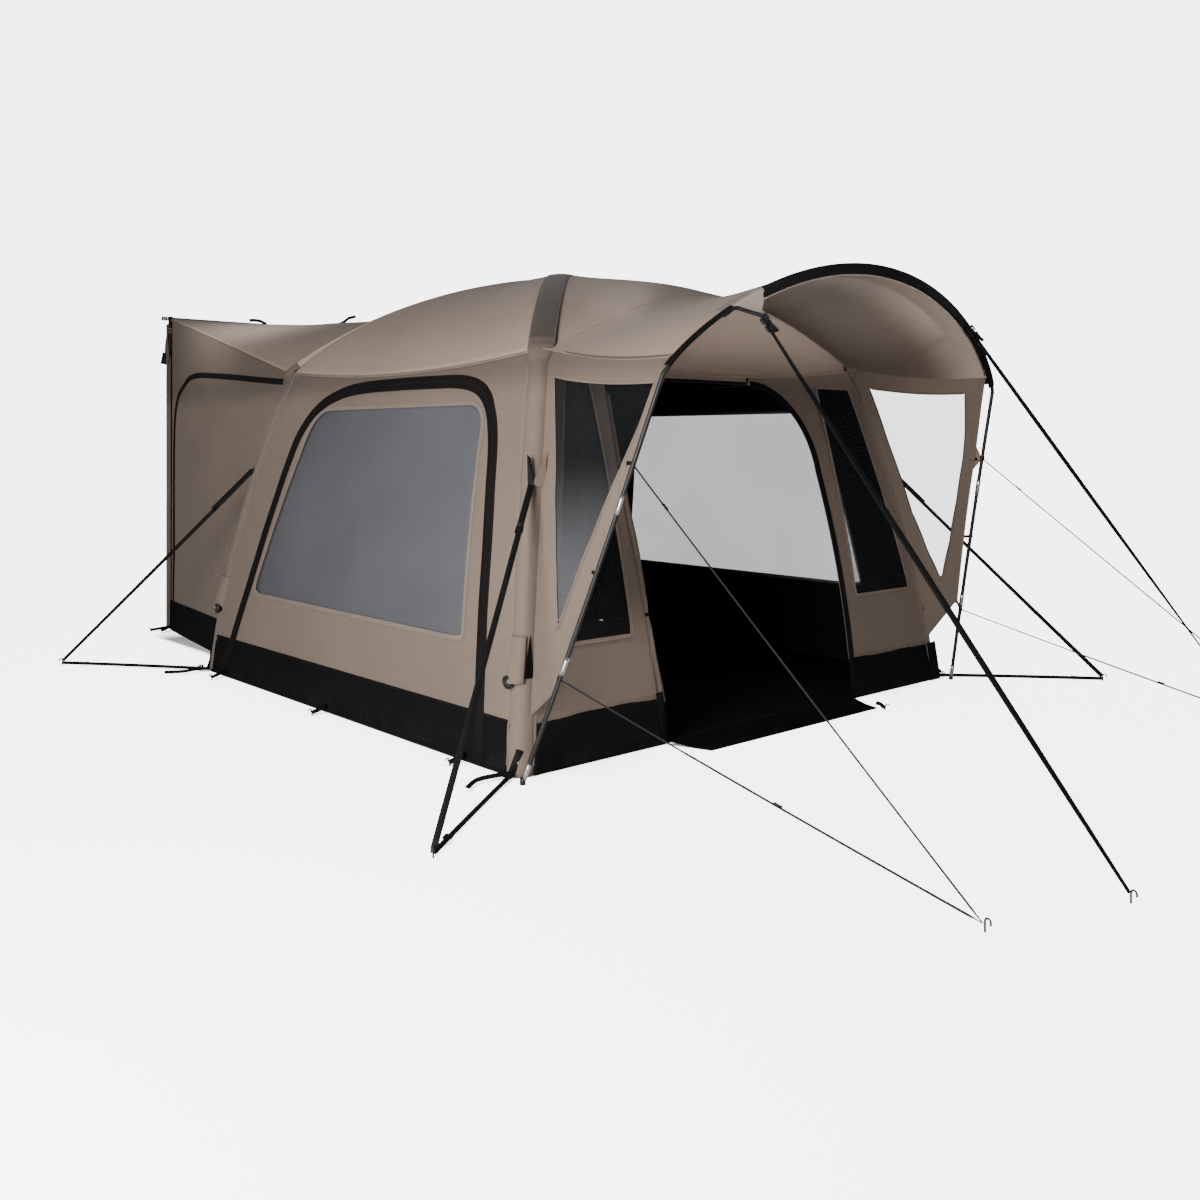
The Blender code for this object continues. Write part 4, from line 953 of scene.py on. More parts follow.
def film_panel(name, loop, place, slot, nodes, material, seed=1, inset=0.004,
               centre=(0.0, 0.0, 1.0), amount=0.004, overlap=0.012):
    """Window film: a thin closed sheet that reaches a little behind the opening's edge."""
    middle = sum((Vector(p) for p in loop), Vector((0.0, 0.0))) / len(loop)

    def spot(share, p):
        away = Vector(p) - middle
        return tuple(place(*(middle + away * (1.0 + overlap / away.length) * share)))

    grid = grid_of(spot, (1.0, 0.94, 0.86, 0.76, 0.65, 0.54, 0.43, 0.32, 0.21, 0.10), loop)
    normal = facing(grid, centre, True)
    grid = grid - normal * inset
    flat = grid.reshape(-1, 3)
    depth = fbm(flat, 1.5, seed) * amount + fbm(flat, 6.0, seed + 3) * amount * 0.12
    fade = np.ones(grid.shape[:2])
    fade[0], fade[1], fade[2] = 0.0, 0.35, 0.75
    grid = (flat + normal.reshape(-1, 3) * (depth * fade.reshape(-1))[:, None]).reshape(grid.shape)
    inner = grid - normal * FILM
    middle_spot, out = grid[-1].mean(0), normal[-1].mean(0)
    points = [*grid.reshape(-1, 3), middle_spot, *inner.reshape(-1, 3), middle_spot - out * FILM]
    size = len(points) // 2
    faces, index = double_faces(*grid.shape[:2], size, True)
    last = index[-1].tolist()
    for a, b in zip(last, last[1:]):
        faces += [(a, b, size - 1), (size + b, size + a, 2 * size - 1)]
    faces += rim_faces(index[0], size)
    item = finish_piece(make_mesh(name, points, faces, [material]), slot, nodes)
    return as_sheet(item)


def cloth_panel(node, grid, materials, slot, seed=1,
                amount=0.004, folds=(), centre=(0.0, 0.0, 1.0), reach=3, scale=1.6):
    normal = facing(grid, centre)
    grid = crumple(grid, normal, amount, scale, seed, reach, folds=folds)
    return sheet_piece(f"{node}_cloth", grid, normal, CLOTH, materials, slot, [node])


def bars(name, parts, origin, along, out, material, slot, nodes=(), bevel=0.0006):
    """Small moulded piece: blocks in a frame of along, across and out, each with round edges."""
    along = Vector(along).normalized()
    out = (Vector(out) - along * Vector(out).dot(along)).normalized()
    side = along.cross(out)
    work = bmesh.new()
    for centre, half in parts:
        block = bmesh.ops.create_cube(work, size=1.0)["verts"]
        for vert in block:
            a, b, c = (centre[k] + vert.co[k] * 2.0 * half[k] for k in range(3))
            vert.co = Vector(origin) + along * a + side * b + out * c
        edges = list({edge for vert in block for edge in vert.link_edges})
        bmesh.ops.bevel(work, geom=edges, offset=bevel, segments=2, affect="EDGES",
                        profile=0.6)
    bmesh.ops.recalc_face_normals(work, faces=work.faces)
    mesh = bpy.data.meshes.new(name)
    work.to_mesh(mesh)
    work.free()
    mesh.materials.append(material)
    mesh.polygons.foreach_set("use_smooth", [True] * len(mesh.polygons))
    return finish_piece(link(bpy.data.objects.new(name, mesh)), slot, nodes)


def buckle(name, spot, along, out, width=0.025):
    """Ladder-lock: a frame with two cross bars and a tilted lip."""
    half = width / 2 + 0.004
    parts = [((0.0, half, 0.003), (0.016, 0.0022, 0.003)),
             ((0.0, -half, 0.003), (0.016, 0.0022, 0.003)),
             ((-0.015, 0.0, 0.003), (0.0022, half, 0.0026)),
             ((-0.003, 0.0, 0.0045), (0.0024, half, 0.0026)),
             ((0.008, 0.0, 0.0035), (0.0022, half, 0.0024)),
             ((0.016, 0.0, 0.0055), (0.0028, half + 0.001, 0.0022))]
    return bars(name, parts, spot, along, out, BUCKLE, "webbing")


def tab(name, corners, out, material, slot, thick=0.003):
    """A small flat cloth tab with the given corners."""
    out = Vector(out).normalized() * thick
    corners = [Vector(c) for c in corners]
    count = len(corners)
    points = [c + out for c in corners] + corners
    faces = [tuple(range(count)), tuple(reversed(range(count, 2 * count)))]
    faces += [(k, (k + 1) % count, count + (k + 1) % count, count + k) for k in range(count)]
    uvs = [(c.z, 0.0) for c in corners] * 2
    item = make_mesh(name, points, faces, [material], uvs=uvs, smooth_shade=False)
    return finish_piece(item, slot)


def strap(name, path, outs, width=0.025, nodes=(), material=None, slot="webbing", thick=0.0018):
    """A free webbing strap, the same on both faces, along a path."""
    path = [Vector(p) for p in path]
    points, uvs = [], []
    profile = [(-1.0, -0.35), (-0.9, 0.4), (0.0, 0.5), (0.9, 0.4), (1.0, -0.35), (0.0, -0.5)]
    for (point, along, run), way in zip(walk(path), spread(outs, path)):
        side = along.cross(way).normalized()
        above = side.cross(along)
        for a, b in profile:
            points.append(point + side * (a * width / 2) + above * b * thick)
            uvs.append((run, a))
    faces = ring_faces(len(path), len(profile))
    return finish_piece(make_mesh(name, points, faces, [material or WEB], uvs=uvs), slot, nodes)


# Walls of the cabin

SKIRT_LEVELS = space(0.002, SKIRT_Z + 0.014, 12)
SIDE_WINDOW_RADII = (0.03, 0.05, 0.22, 0.14)
# Zip of the side wall's big door, as depths and heights from the front foot to the rear one
WALL_ZIP = ((-1.335, 0.0), (-1.287, 0.35), (-1.237, 0.70), (-1.188, 1.0), (-1.130, 1.274),
            (-1.082, 1.455), (-1.010, 1.61), (-0.890, 1.715), (-0.711, 1.760), (-0.42, 1.769),
            (-0.08, 1.770), (0.28, 1.763), (0.52, 1.737), (0.735, 1.664), (0.882, 1.53),
            (0.965, 1.32), (1.030, 1.08), (1.112, 0.77), (1.200, 0.483), (1.300, 0.213),
            (1.385, 0.0))


def side_walls():
    for side, label in SIDES:
        def place(y, z):
            return (side * corner_x(z), y, z)

        low = SKIRT_Z + 0.001
        top_edge = SHOULDER_Y - LEG_IN_Y

        def edge_y(z):
            return corner_y(z) - LEG_IN_Y - 0.0005

        def top_z(y):
            return side_seam(y) - 0.004

        high = top_z(top_edge)

        def up_edge(sign, start, stop):
            return lambda t: (sign * edge_y(lerp(start, stop, t)), lerp(start, stop, t))

        def along_top(t):
            y = edge_y(high) * (1 - 2 * t)
            return (y, top_z(y))

        outer = curve_loop((lambda t: (-edge_y(low) + 2 * edge_y(low) * t, low),
                            up_edge(1, low, high), along_top, up_edge(-1, high, low)), 34)
        window = rounded_loop([(-1.11, 0.53), (1.11, 0.53), (0.76, 1.65), (-0.95, 1.65)],
                              SIDE_WINDOW_RADII, 34)
        folds = [((side * x, y, z), (0.0, lean, rise), spread_out, length, height, 1.5)
                 for x, y, z, lean, rise, spread_out, length, height in (
                     (SHOULDER_X, -1.20, 1.88, 0.55, -1.0, 0.55, 0.38, 0.010),
                     (SHOULDER_X, 1.20, 1.88, -0.55, -1.0, 0.55, 0.38, 0.009),
                     (1.6, -1.50, 0.23, 0.35, 1.0, 0.5, 0.30, 0.006),
                     (1.6, 1.50, 0.23, -0.5, 1.0, 0.5, 0.30, 0.006))]
        wall = window_panel(f"{label}_wall", outer, window, place, WALL,
                            11 + side, folds)
        film_panel(f"{label}_window_film", window, place, "tinted_film", [f"{label}_window"],
                   TINTED, 21 + side)
        if side < 0:
            blind = rounded_loop([(-1.14, 0.50), (1.14, 0.50), (0.79, 1.68), (-0.98, 1.68)],
                                 SIDE_WINDOW_RADII, 34)
            film_panel("left_window_blind", blind, place, "wall_cloth", (), BLIND, 27,
                       inset=0.014, amount=0.003)
        ribbon(f"{label}_window_edge", *on_place(place, window), 0.022, PIPING, "wall_cloth",
               closed=True, on=skin(wall), lift=0.0006, height=0.0012)

        grid = grid_of(lambda z, y: (side * (corner_x(z) + 0.004 * (1 - z / 0.22)), y, z),
                       SKIRT_LEVELS, space(-edge_y(0.1), edge_y(0.1), 110))
        skirt = cloth_panel(f"{label}_skirt", grid, [MUD, MUD], "mud_cloth",
                            31 + side, 0.007, scale=3.0)
        for name, x, z, half, width in (
                ("hem", corner_x(0.0) + 0.006, 0.010, edge_y(0.0), 0.016),
                ("seam", corner_x(SKIRT_Z + 0.008), SKIRT_Z + 0.008, edge_y(SKIRT_Z), 0.014)):
            path = [(side * x, y, z) for y in space(-half, half, 60)]
            ribbon(label + f"_skirt_{name}", path, (side, 0, 0), width, HEM_BLACK, "mud_cloth",
                   on=skin(skirt))

        outline = [Vector(p) for p in WALL_ZIP]
        flats = resample(smooth_chain(outline), 150) + [outline[-1]]
        flats = [p for p in flats if p[1] >= 0.002]
        ribbon(f"{label}_wall_zip", *on_place(place, flats), 0.074, ZIP, "wall_cloth",
               on=skin(wall, skirt), lift=0.0012, height=0.0022)
        seam = [(side * corner_x(side_seam(y)), y, side_seam(y) - 0.002)
                for y in space(-top_edge, top_edge, 60)]
        ribbon(f"{label}_roof_seam", seam, (side, 0, 0.55), 0.016, SEAM, "roof_cloth")


def smooth_chain(points, steps=8):
    """A smooth open curve through the given points."""
    chain = []
    for k in range(len(points) - 1):
        before = points[max(k - 1, 0)]
        start, stop = points[k], points[k + 1]
        after = points[min(k + 2, len(points) - 1)]
        for m in range(steps):
            t = m / steps
            chain.append(0.5 * (2.0 * start + (stop - before) * t
                                + (2.0 * before - 5.0 * start + 4.0 * stop - after) * t * t
                                + (3.0 * start - before - 3.0 * stop + after) * t ** 3))
    return chain + [points[-1]]


# Front windows: lowest and highest height, then the door side's place at each
FRONT_WINDOWS = {"left": (0.538, 1.755, 0.905, 0.962), "right": (0.57, 1.775, 0.866, 0.805)}
FRONT_WINDOW_MARGIN = 0.07


def front_walls():
    for side, label in SIDES:
        def place(x, z):
            return (side * x, -corner_y(z), z)

        low = SKIRT_Z + 0.001
        door_top = DOOR_TOP_Z if side > 0 else front_seam(DOOR_LEFT_HIGH)

        def edge_x(z):
            return corner_x(z) - LEG_IN_X - 0.0005

        high = front_seam(SHOULDER_X - LEG_IN_X)

        def top(t):
            x = lerp(edge_x(high), door_edge(door_top, side), t)
            return (x, front_seam(x))

        def door(t):
            z = lerp(door_top, low, t)
            if side > 0:
                turn = min(1.0, t * 2.0) * math.pi / 2
                z = DOOR_ROUND_Z + (DOOR_TOP_Z - DOOR_ROUND_Z) * math.cos(turn)
                z -= max(0.0, t * 2.0 - 1.0) * (DOOR_ROUND_Z - low)
            return (door_edge(z, side), z)

        outer = curve_loop((lambda t: (lerp(door_edge(low, side), edge_x(low), t), low),
                            lambda t: (edge_x(lerp(low, high, t)), lerp(low, high, t)),
                            top, door), 30)
        foot, peak, door_low, door_high = FRONT_WINDOWS[label]
        corners = [(door_low, foot), (edge_x(foot) - FRONT_WINDOW_MARGIN, foot),
                   (edge_x(peak) - FRONT_WINDOW_MARGIN, peak), (door_high, peak)]
        window = rounded_loop(corners, [0.02] * 4, 30)
        wall = window_panel(f"front_wall_{label}", outer, window, place, FRONT_WALL_SHADED,
                            41 + side, amount=0.003, rings=10)
        film_panel(f"front_window_{label}_film", window, place, "clear_film",
                   [f"front_window_{label}"], CLEAR, 45 + side, amount=0.002)
        ribbon(f"front_window_{label}_edge", *on_place(place, window), 0.018, SEAM, "wall_cloth",
               closed=True, on=skin(wall))
        grid = grid_of(lambda z, share: (side * lerp(door_edge(z, side), edge_x(z), share),
                                         -corner_y(z) - 0.004 * (1 - z / 0.22), z),
                       SKIRT_LEVELS, space(0.0, 1.0, 40))
        skirt = cloth_panel(f"front_skirt_{label}", grid, [MUD, MUD], "mud_cloth",
                            51 + side, 0.006, scale=3.0)
        # Zip down the door's edge
        flats = [door(t) for t in space(0.0, 1.0, 60)] + [(door_edge(0.004, side), 0.004)]
        inset = 0.024 if side > 0 else -0.012
        flats = [(x + inset, z) for x, z in flats]
        if side < 0:
            flats = [p for p in flats if p[1] < 0.26]
        ribbon(f"door_zip_{label}", *on_place(place, flats), 0.045, ZIP, "wall_cloth",
               on=skin(wall, skirt), lift=0.0012, height=0.0022)

    def header_spot(level, x):
        z = lerp(DOOR_TOP_Z, front_seam(x), level)
        return (x, -corner_y(z), z)

    grid = grid_of(header_spot, space(0.0, 1.0, 6), space(-DOOR_LEFT_HIGH, DOOR_ROUND_X, 50))
    header = cloth_panel("door_header", grid, [FRONT, INSIDE], "wall_cloth",
                         seed=55, amount=0.0015, reach=2)
    path = [(x, -corner_y(DOOR_TOP_Z), DOOR_TOP_Z + 0.008)
            for x in space(-DOOR_LEFT_HIGH, DOOR_ROUND_X, 40)]
    ribbon("door_zip_top", path, (0, -1, 0), 0.016, ZIP, "wall_cloth", on=skin(header))


def gable():
    half = SHOULDER_X - LEG_IN_X - 0.02

    def spot(level, x):
        low, rim = front_seam(x), front_arc(x) + rounding(x, 0.0) - 0.003
        z = lerp(low, rim, level)
        y = lerp(corner_y(low), SHOULDER_Y - 0.004, level)
        return (x, -y, z)

    grid = grid_of(spot, space(0.0, 1.0, 18), space(-half, half, 80))
    item = cloth_panel("front_gable", grid, [FRONT, INSIDE], "wall_cloth",
                       seed=61, amount=0.006)
    path = [(x, -corner_y(front_seam(x)), front_seam(x)) for x in space(-half, half, 60)]
    ribbon("gable_seam", path, (0, -1, 0), 0.016, SEAM, "wall_cloth", on=skin(item))


# Porch

def arch_point(t):
    """Middle of the pole: 0 at the left foot, 1 at the left shoulder, 2 right shoulder, 3 foot."""
    if t <= 1.0:
        z = ARCH_SHOULDER_Z * t
        x = -arch_x(z)
    elif t < 2.0:
        x = -ARCH_SHOULDER_X * math.cos(math.pi * (t - 1.0))
        z = arch_top(x)
    else:
        z = ARCH_SHOULDER_Z * (3.0 - t)
        x = arch_x(z)
    return Vector((x + arch_skew(z), arch_y(z), z))


def canopy_point(v, across):
    """Point of the canopy: v from the cabin to the pole, across from -1 at the left to 1."""
    back = Vector((SHOULDER_X * across, -(SHOULDER_Y - 0.008),
                   front_arc(SHOULDER_X * across) + 0.004))
    reach = ARCH_SHOULDER_X * CANOPY_SHARE * across
    z = arch_top(reach)
    front = Vector((reach + arch_skew(z), arch_y(z) + ARCH_RADIUS, z))
    point = back.lerp(front, v)
    point.z -= CANOPY_SAG * math.sin(math.pi * v) * (1.0 - across ** 2 + across ** 8)
    point.z += rounding(point.x, -(point.y + SHOULDER_Y))
    return point


def strap_anchor(side):
    """Where a canopy strap starts on the pole."""
    top = arch_top(CANOPY_STRAP_X)
    return Vector((side * CANOPY_STRAP_X + arch_skew(top), arch_y(top), top))


POLE_PLANE = Vector((0.0, -1.0, -ARCH_LEAN)).normalized()


def pole_frame(t):
    """A point on the pole's middle, and the direction in its plane away from the porch."""
    point = arch_point(t)
    along = (arch_point(t + 0.004) - arch_point(t - 0.004)).normalized()
    outward = along.cross(POLE_PLANE).normalized()
    if outward.dot(point - Vector((0.0, point.y, 1.2))) < 0:
        outward = -outward
    return point, outward


def sleeve(on_canopy, name, start, stop, material, back, count, drop, grow=0.0):
    """Sleeve of the pole: from the canopy's top over the pole to just under it."""
    rows = []
    radius = ARCH_RADIUS + 0.003 + grow
    for t in space(start, stop, count):
        point, outward = pole_frame(t)
        share = max(-1.0, min(1.0, (point.x - arch_skew(point.z)) / ARCH_SHOULDER_X))
        toward = (canopy_point(0.7, share) - canopy_point(1.0, share)).normalized()
        row = []
        for k, run in enumerate(space(back, 0.022, 5)):
            spot = point + toward * run + outward * 0.003
            hit = on_canopy.ray_cast(spot + outward * 0.06, -outward, 0.14)[0]
            row.append((hit or spot) + outward * (0.003 + grow + 0.001 * k))
        row += [point + (outward * math.sin(turn) - POLE_PLANE * math.cos(turn)) * radius
                for turn in space(math.pi / 4, math.pi, 7)]
        row += [point + POLE_PLANE * (radius - 0.002 * k) - outward * drop * k / 4
                for k in range(1, 5)]
        rows.append(row)
    grid = np.array(rows, float)
    sheet_piece(name, grid, facing(grid, (0.0, -1.6, 1.3)), THIN, [material, material],
                "roof_cloth", ())


def porch():
    turns = [-math.cos(a) for a in space(0.0, math.pi, 90)]
    grid = grid_of(lambda v, a: tuple(canopy_point(v, a)), space(0.0, 1.0, 36), turns)
    folds = [((x, -2.25, 2.16), (lean, 1.0, 0.0), 0.5, 0.3, 0.006, 1.5)
             for x, lean in ((-0.79, 0.2), (0.82, -0.2))]
    canopy = cloth_panel("porch_canopy", grid, [ROOF, CANOPY_UNDER_SHADED], "roof_cloth",
                         71, 0.005, folds, centre=(0.0, -1.7, 1.0))
    on_canopy = skin(canopy)

    peak = 1.0 + math.acos(CANOPY_STRAP_X / ARCH_SHOULDER_X) / math.pi
    for row in (("arch_sleeve_left", 1.060, peak - 0.024, MUD, 0.026, 40, 0.008),
                ("arch_patch_left", peak - 0.034, peak + 0.022, ROOF_SHADED_PATCH, 0.10, 14, 0.02, 0.0012),
                ("arch_sleeve_right", peak + 0.018, 1.935, MUD, 0.050, 90, 0.038)):
        sleeve(on_canopy, *row)
    # Gusset that the left canopy strap draws forward, with webbing along its lower edge
    pull = (Vector((*CANOPY_PEGS["left"], PEG_TOP_Z)) - strap_anchor(-1)).normalized()
    tip = arch_point(peak) + pull * 0.115
    first, second = arch_point(peak - 0.032), arch_point(peak + 0.022)
    rise = arch_point(peak) - first.lerp(second, 0.5)

    def gusset(v, u):
        edge = first.lerp(second, u) + rise * (4.0 * u * (1.0 - u))
        return tuple(edge.lerp(tip + (edge - tip) * 0.04, v)
                     + POLE_PLANE * 0.012 * math.sin(math.pi * min(1.0, v + 0.15)))

    grid = grid_of(gusset, space(0.0, 1.0, 12), space(0.0, 1.0, 12))
    sheet_piece("canopy_gusset_left", grid, facing(grid, (0.0, 0.0, 1.5)), THIN, [ROOF_SHADED_PATCH, ROOF_SHADED_PATCH],
                "roof_cloth", ())
    curve = [arch_point(peak - 0.056), arch_point(peak - 0.044), first, first.lerp(tip, 0.35),
             first.lerp(tip, 0.7), tip]
    edge = [spot + POLE_PLANE * (ARCH_RADIUS + 0.006) for spot in smooth_chain(curve, 5)]
    strap("canopy_gusset_web", edge, [POLE_PLANE] * len(edge), 0.018)
    # Hem that hangs under the sleeve, in the lighter front cloth: painted light
    rows = []
    for t in space(peak + 0.022, 1.88, 80):
        point, outward = pole_frame(t)
        rows.append([point + POLE_PLANE * 0.001 - outward * (0.034 + 0.012 * k / 3)
                     for k in range(4)])
    grid = np.array(rows, float)
    sheet_piece("canopy_hem", grid, facing(grid, (0.0, 0.0, 1.5)), THIN, [FRONT, FRONT],
                "wall_cloth", ())
    arch_pieces()


def arch_pieces():
    """The pole in its sections, with steel ferrules between them."""
    steps = space(0.0, 1.0, 24) + space(1.0, 2.0, 90)[1:-1] + space(2.0, 3.0, 24)
    path = [arch_point(t) for t in steps]
    path[0].z = path[-1].z = 0.004
    tube("arch_pole_tube", path, 0.0104, POLE, "pole_black", 12, nodes=["arch_pole"])
    for label, offset, sign in (("left", 0.0, 1), ("right", 3.0, -1)):
        for k, (low, high) in enumerate(((0.012, 0.052), (0.27, 0.315), (0.665, 0.715))):
            ends = [arch_point(offset + sign * t) for t in space(low, high, 4)]
            tube(f"arch_ferrule_{label}_{k + 1}", ends, 0.0118, STEEL, "pole_grey", 12)
        foot = arch_point(offset + sign * 0.004)
        tube(f"arch_foot_{label}", [Vector((foot.x, foot.y, 0.0)), foot + up(0.022)],
             0.013, BUCKLE, "pole_black", 14)


def wing_point(side, u, v):
    """Point of a wing: u from the beam's leg to the pole, v from the foot to the canopy."""
    edge_start, edge_stop = canopy_point(0.0, -1.0), canopy_point(1.0, -1.0)
    span = edge_stop.y - edge_start.y
    top_rear = edge_start.z + (edge_stop.z - edge_start.z) \
        * (-(SHOULDER_Y + 0.006) - edge_start.y) / span - 0.005
    top_front = edge_start.z + (edge_stop.z - edge_start.z) * 0.97 - 0.005
    low_front = WING_FOOT_Z + WING_LOW_FRONT[side]
    z_rear = WING_FOOT_Z + (top_rear - WING_FOOT_Z) * v
    rear = Vector((-(corner_x(z_rear) - WING_SEAT), -(corner_y(z_rear) - 0.022), z_rear))
    z_front = low_front + (top_front - low_front) * v
    y_front = arch_y(z_front) + WING_CLEAR + WING_BOW * math.sin(math.pi * v) * 0.3
    front = Vector((-(arch_x(z_front) - 0.02), y_front, z_front))
    point = rear.lerp(front, u)
    if side > 0:
        point.x = -point.x
    point.x += arch_skew(z_front) * u
    top_x = lerp(corner_x(top_rear) - WING_SEAT, arch_x(top_front) - 0.02, u)
    edge = canopy_point(lerp(0.020, 0.965, u), float(side))
    share = smooth((v - 0.62) / 0.38)
    shift = edge.x - side * (0.004 + top_x) - arch_skew(z_front) * u
    point.x += shift * share * smooth(u * 3.0)
    point.z += (edge.z + 0.012 - lerp(top_rear, top_front, u)) * share
    return point


# Windows of the wings: lowest and highest share, then shares up against shares forward
WING_WINDOWS = {
    "left": (0.222, 0.920, ((0.222, 0.335, 0.473, 0.663, 0.786, 0.920),
                            (0.600, 0.705, 0.811, 0.905, 0.938, 0.940)),
             ((0.222, 0.306, 0.42, 0.577, 0.920), (0.555, 0.434, 0.325, 0.22, 0.1055))),
    "right": (0.175, 0.930, ((0.175, 0.300, 0.470, 0.655, 0.760, 0.930),
                             (0.600, 0.755, 0.841, 0.882, 0.884, 0.862)),
              ((0.175, 0.30, 0.466, 0.735, 0.930), (0.540, 0.350, 0.205, 0.134, 0.1137)))}


def wing_ties(side, label):
    """Cloth tabs and webbing that hold the wing's front edge to the pole."""
    for k, z in enumerate((GUY_HIGH_Z, 0.90, GUY_LOW_Z)):
        def edge(level, share=1.0):
            return min((wing_point(side, share, v) for v in space(0.0, 0.99, 200)),
                       key=lambda spot: abs(spot.z - level))

        pole = Vector((side * arch_x(z) + arch_skew(z), arch_y(z), z))
        start = edge(z, 0.95)
        ahead = (pole - edge(z)).normalized()
        out = Vector((side * 0.6, -0.8, 0.0))
        strap(f"wing_tie_{label}_{k + 1}",
              [start + out * 0.004, edge(z) + out * 0.004, pole + out * 0.013,
               pole + ahead * 0.013], out, 0.016 if k == 1 else 0.028)
        if k != 1:
            back = pole - ahead * 0.008
            tab(f"wing_tab_{label}_{k + 1}",
                [edge(z + 0.08, 0.985), back + up(0.012), back - up(0.012), edge(z - 0.08, 0.985)],
                out, WALL, "wall_cloth", 0.002)


def wings():
    for side, label in SIDES:
        def place(u, v):
            return tuple(wing_point(side, u, v))

        def window_edge(shares, start, stop):
            return lambda t: (float(np.interp(lerp(start, stop, t), *shares)),
                              lerp(start, stop, t))

        inside = (0.0, -1.5, 1.0)
        outer = curve_loop((lambda t: (t, 0.0), lambda t: (1.0, t), lambda t: (1.0 - t, 1.0),
                            lambda t: (0.0, 1.0 - t)), 34)
        low, high, outer_side, inner_side = WING_WINDOWS[label]
        window = curve_loop((
            lambda t: (lerp(inner_side[1][0], outer_side[1][0], t), low),
            window_edge(outer_side, low, high),
            lambda t: (lerp(outer_side[1][-1], inner_side[1][-1], t), high),
            window_edge(inner_side, high, low)), 34)
        wing = window_panel(f"wing_{label}", outer, window, place, WALL,
                            81 + side, centre=inside,
                            rings=8, amount=0.002, back=WING_INSIDE_SHADED)
        film_panel(f"wing_window_{label}_film", window, place, "clear_film",
                   [f"wing_window_{label}"], HAZY if side < 0 else CLEAR, 85 + side,
                   centre=inside, amount=0.003, overlap=0.0)
        on_wing = skin(wing)
        path = [wing_point(side, 0.985, v) for v in space(0.0, 1.0, 50)]
        ribbon(f"wing_hem_{label}", path, (side, 0, 0), 0.022, SEAM, "wall_cloth",
               on=on_wing)
        ribbon(f"wing_window_{label}_edge", *on_place(place, window, inside), 0.010, SEAM,
               "wall_cloth", closed=True, on=on_wing)
        wing_ties(side, label)


# Tunnel

TUNNEL_INSIDE = (0.0, 2.3, 1.2)
# Zip of the tunnel's side door: shares along the wall and heights
TUNNEL_ZIP = ((0.958, 0.01), (0.960, 0.6), (0.962, 1.2), (0.962, 1.52), (0.950, 1.70),
              (0.925, 1.815), (0.882, 1.891), (0.830, 1.935), (0.773, 1.945), (0.67, 1.932),
              (0.548, 1.912), (0.343, 1.873), (0.18, 1.845))
TUNNEL_LENGTH = 1.9


def tunnel_plan(z):
    """Points in plan of the tunnel's left wall at a height, from the cabin to the vehicle."""
    level = min(z, SHOULDER_Z)
    seat = Vector((-(corner_x(level) - 0.02), corner_y(level) + 0.002))
    turn = Vector((-lerp(TUNNEL_FRONT_X, TUNNEL_FRONT_TOP_X, level / SHOULDER_Z),
                   corner_y(level) + 0.002))
    rear = Vector((-TUNNEL_REAR_X, TUNNEL_REAR_Y - LINK_POLE_RADIUS))
    return seat, turn, rear


def tunnel_edge(y):
    """Height of the edge between the tunnel's wall and roof."""
    share = max(0.0, (y - SHOULDER_Y) / (TUNNEL_REAR_Y - SHOULDER_Y))
    return lerp(SHOULDER_Z, TUNNEL_TOP_Z, share)


def tunnel_spot(side, share, z):
    """Point of the tunnel's wall: share from 0 at the cabin's corner, over its turn, to 1."""
    seat, turn, rear = tunnel_plan(z)
    if share < TUNNEL_TURN:
        spot = seat.lerp(turn, share / TUNNEL_TURN)
    else:
        spot = turn.lerp(rear, (share - TUNNEL_TURN) / (1.0 - TUNNEL_TURN))
    return (-side * spot.x, spot.y, z)


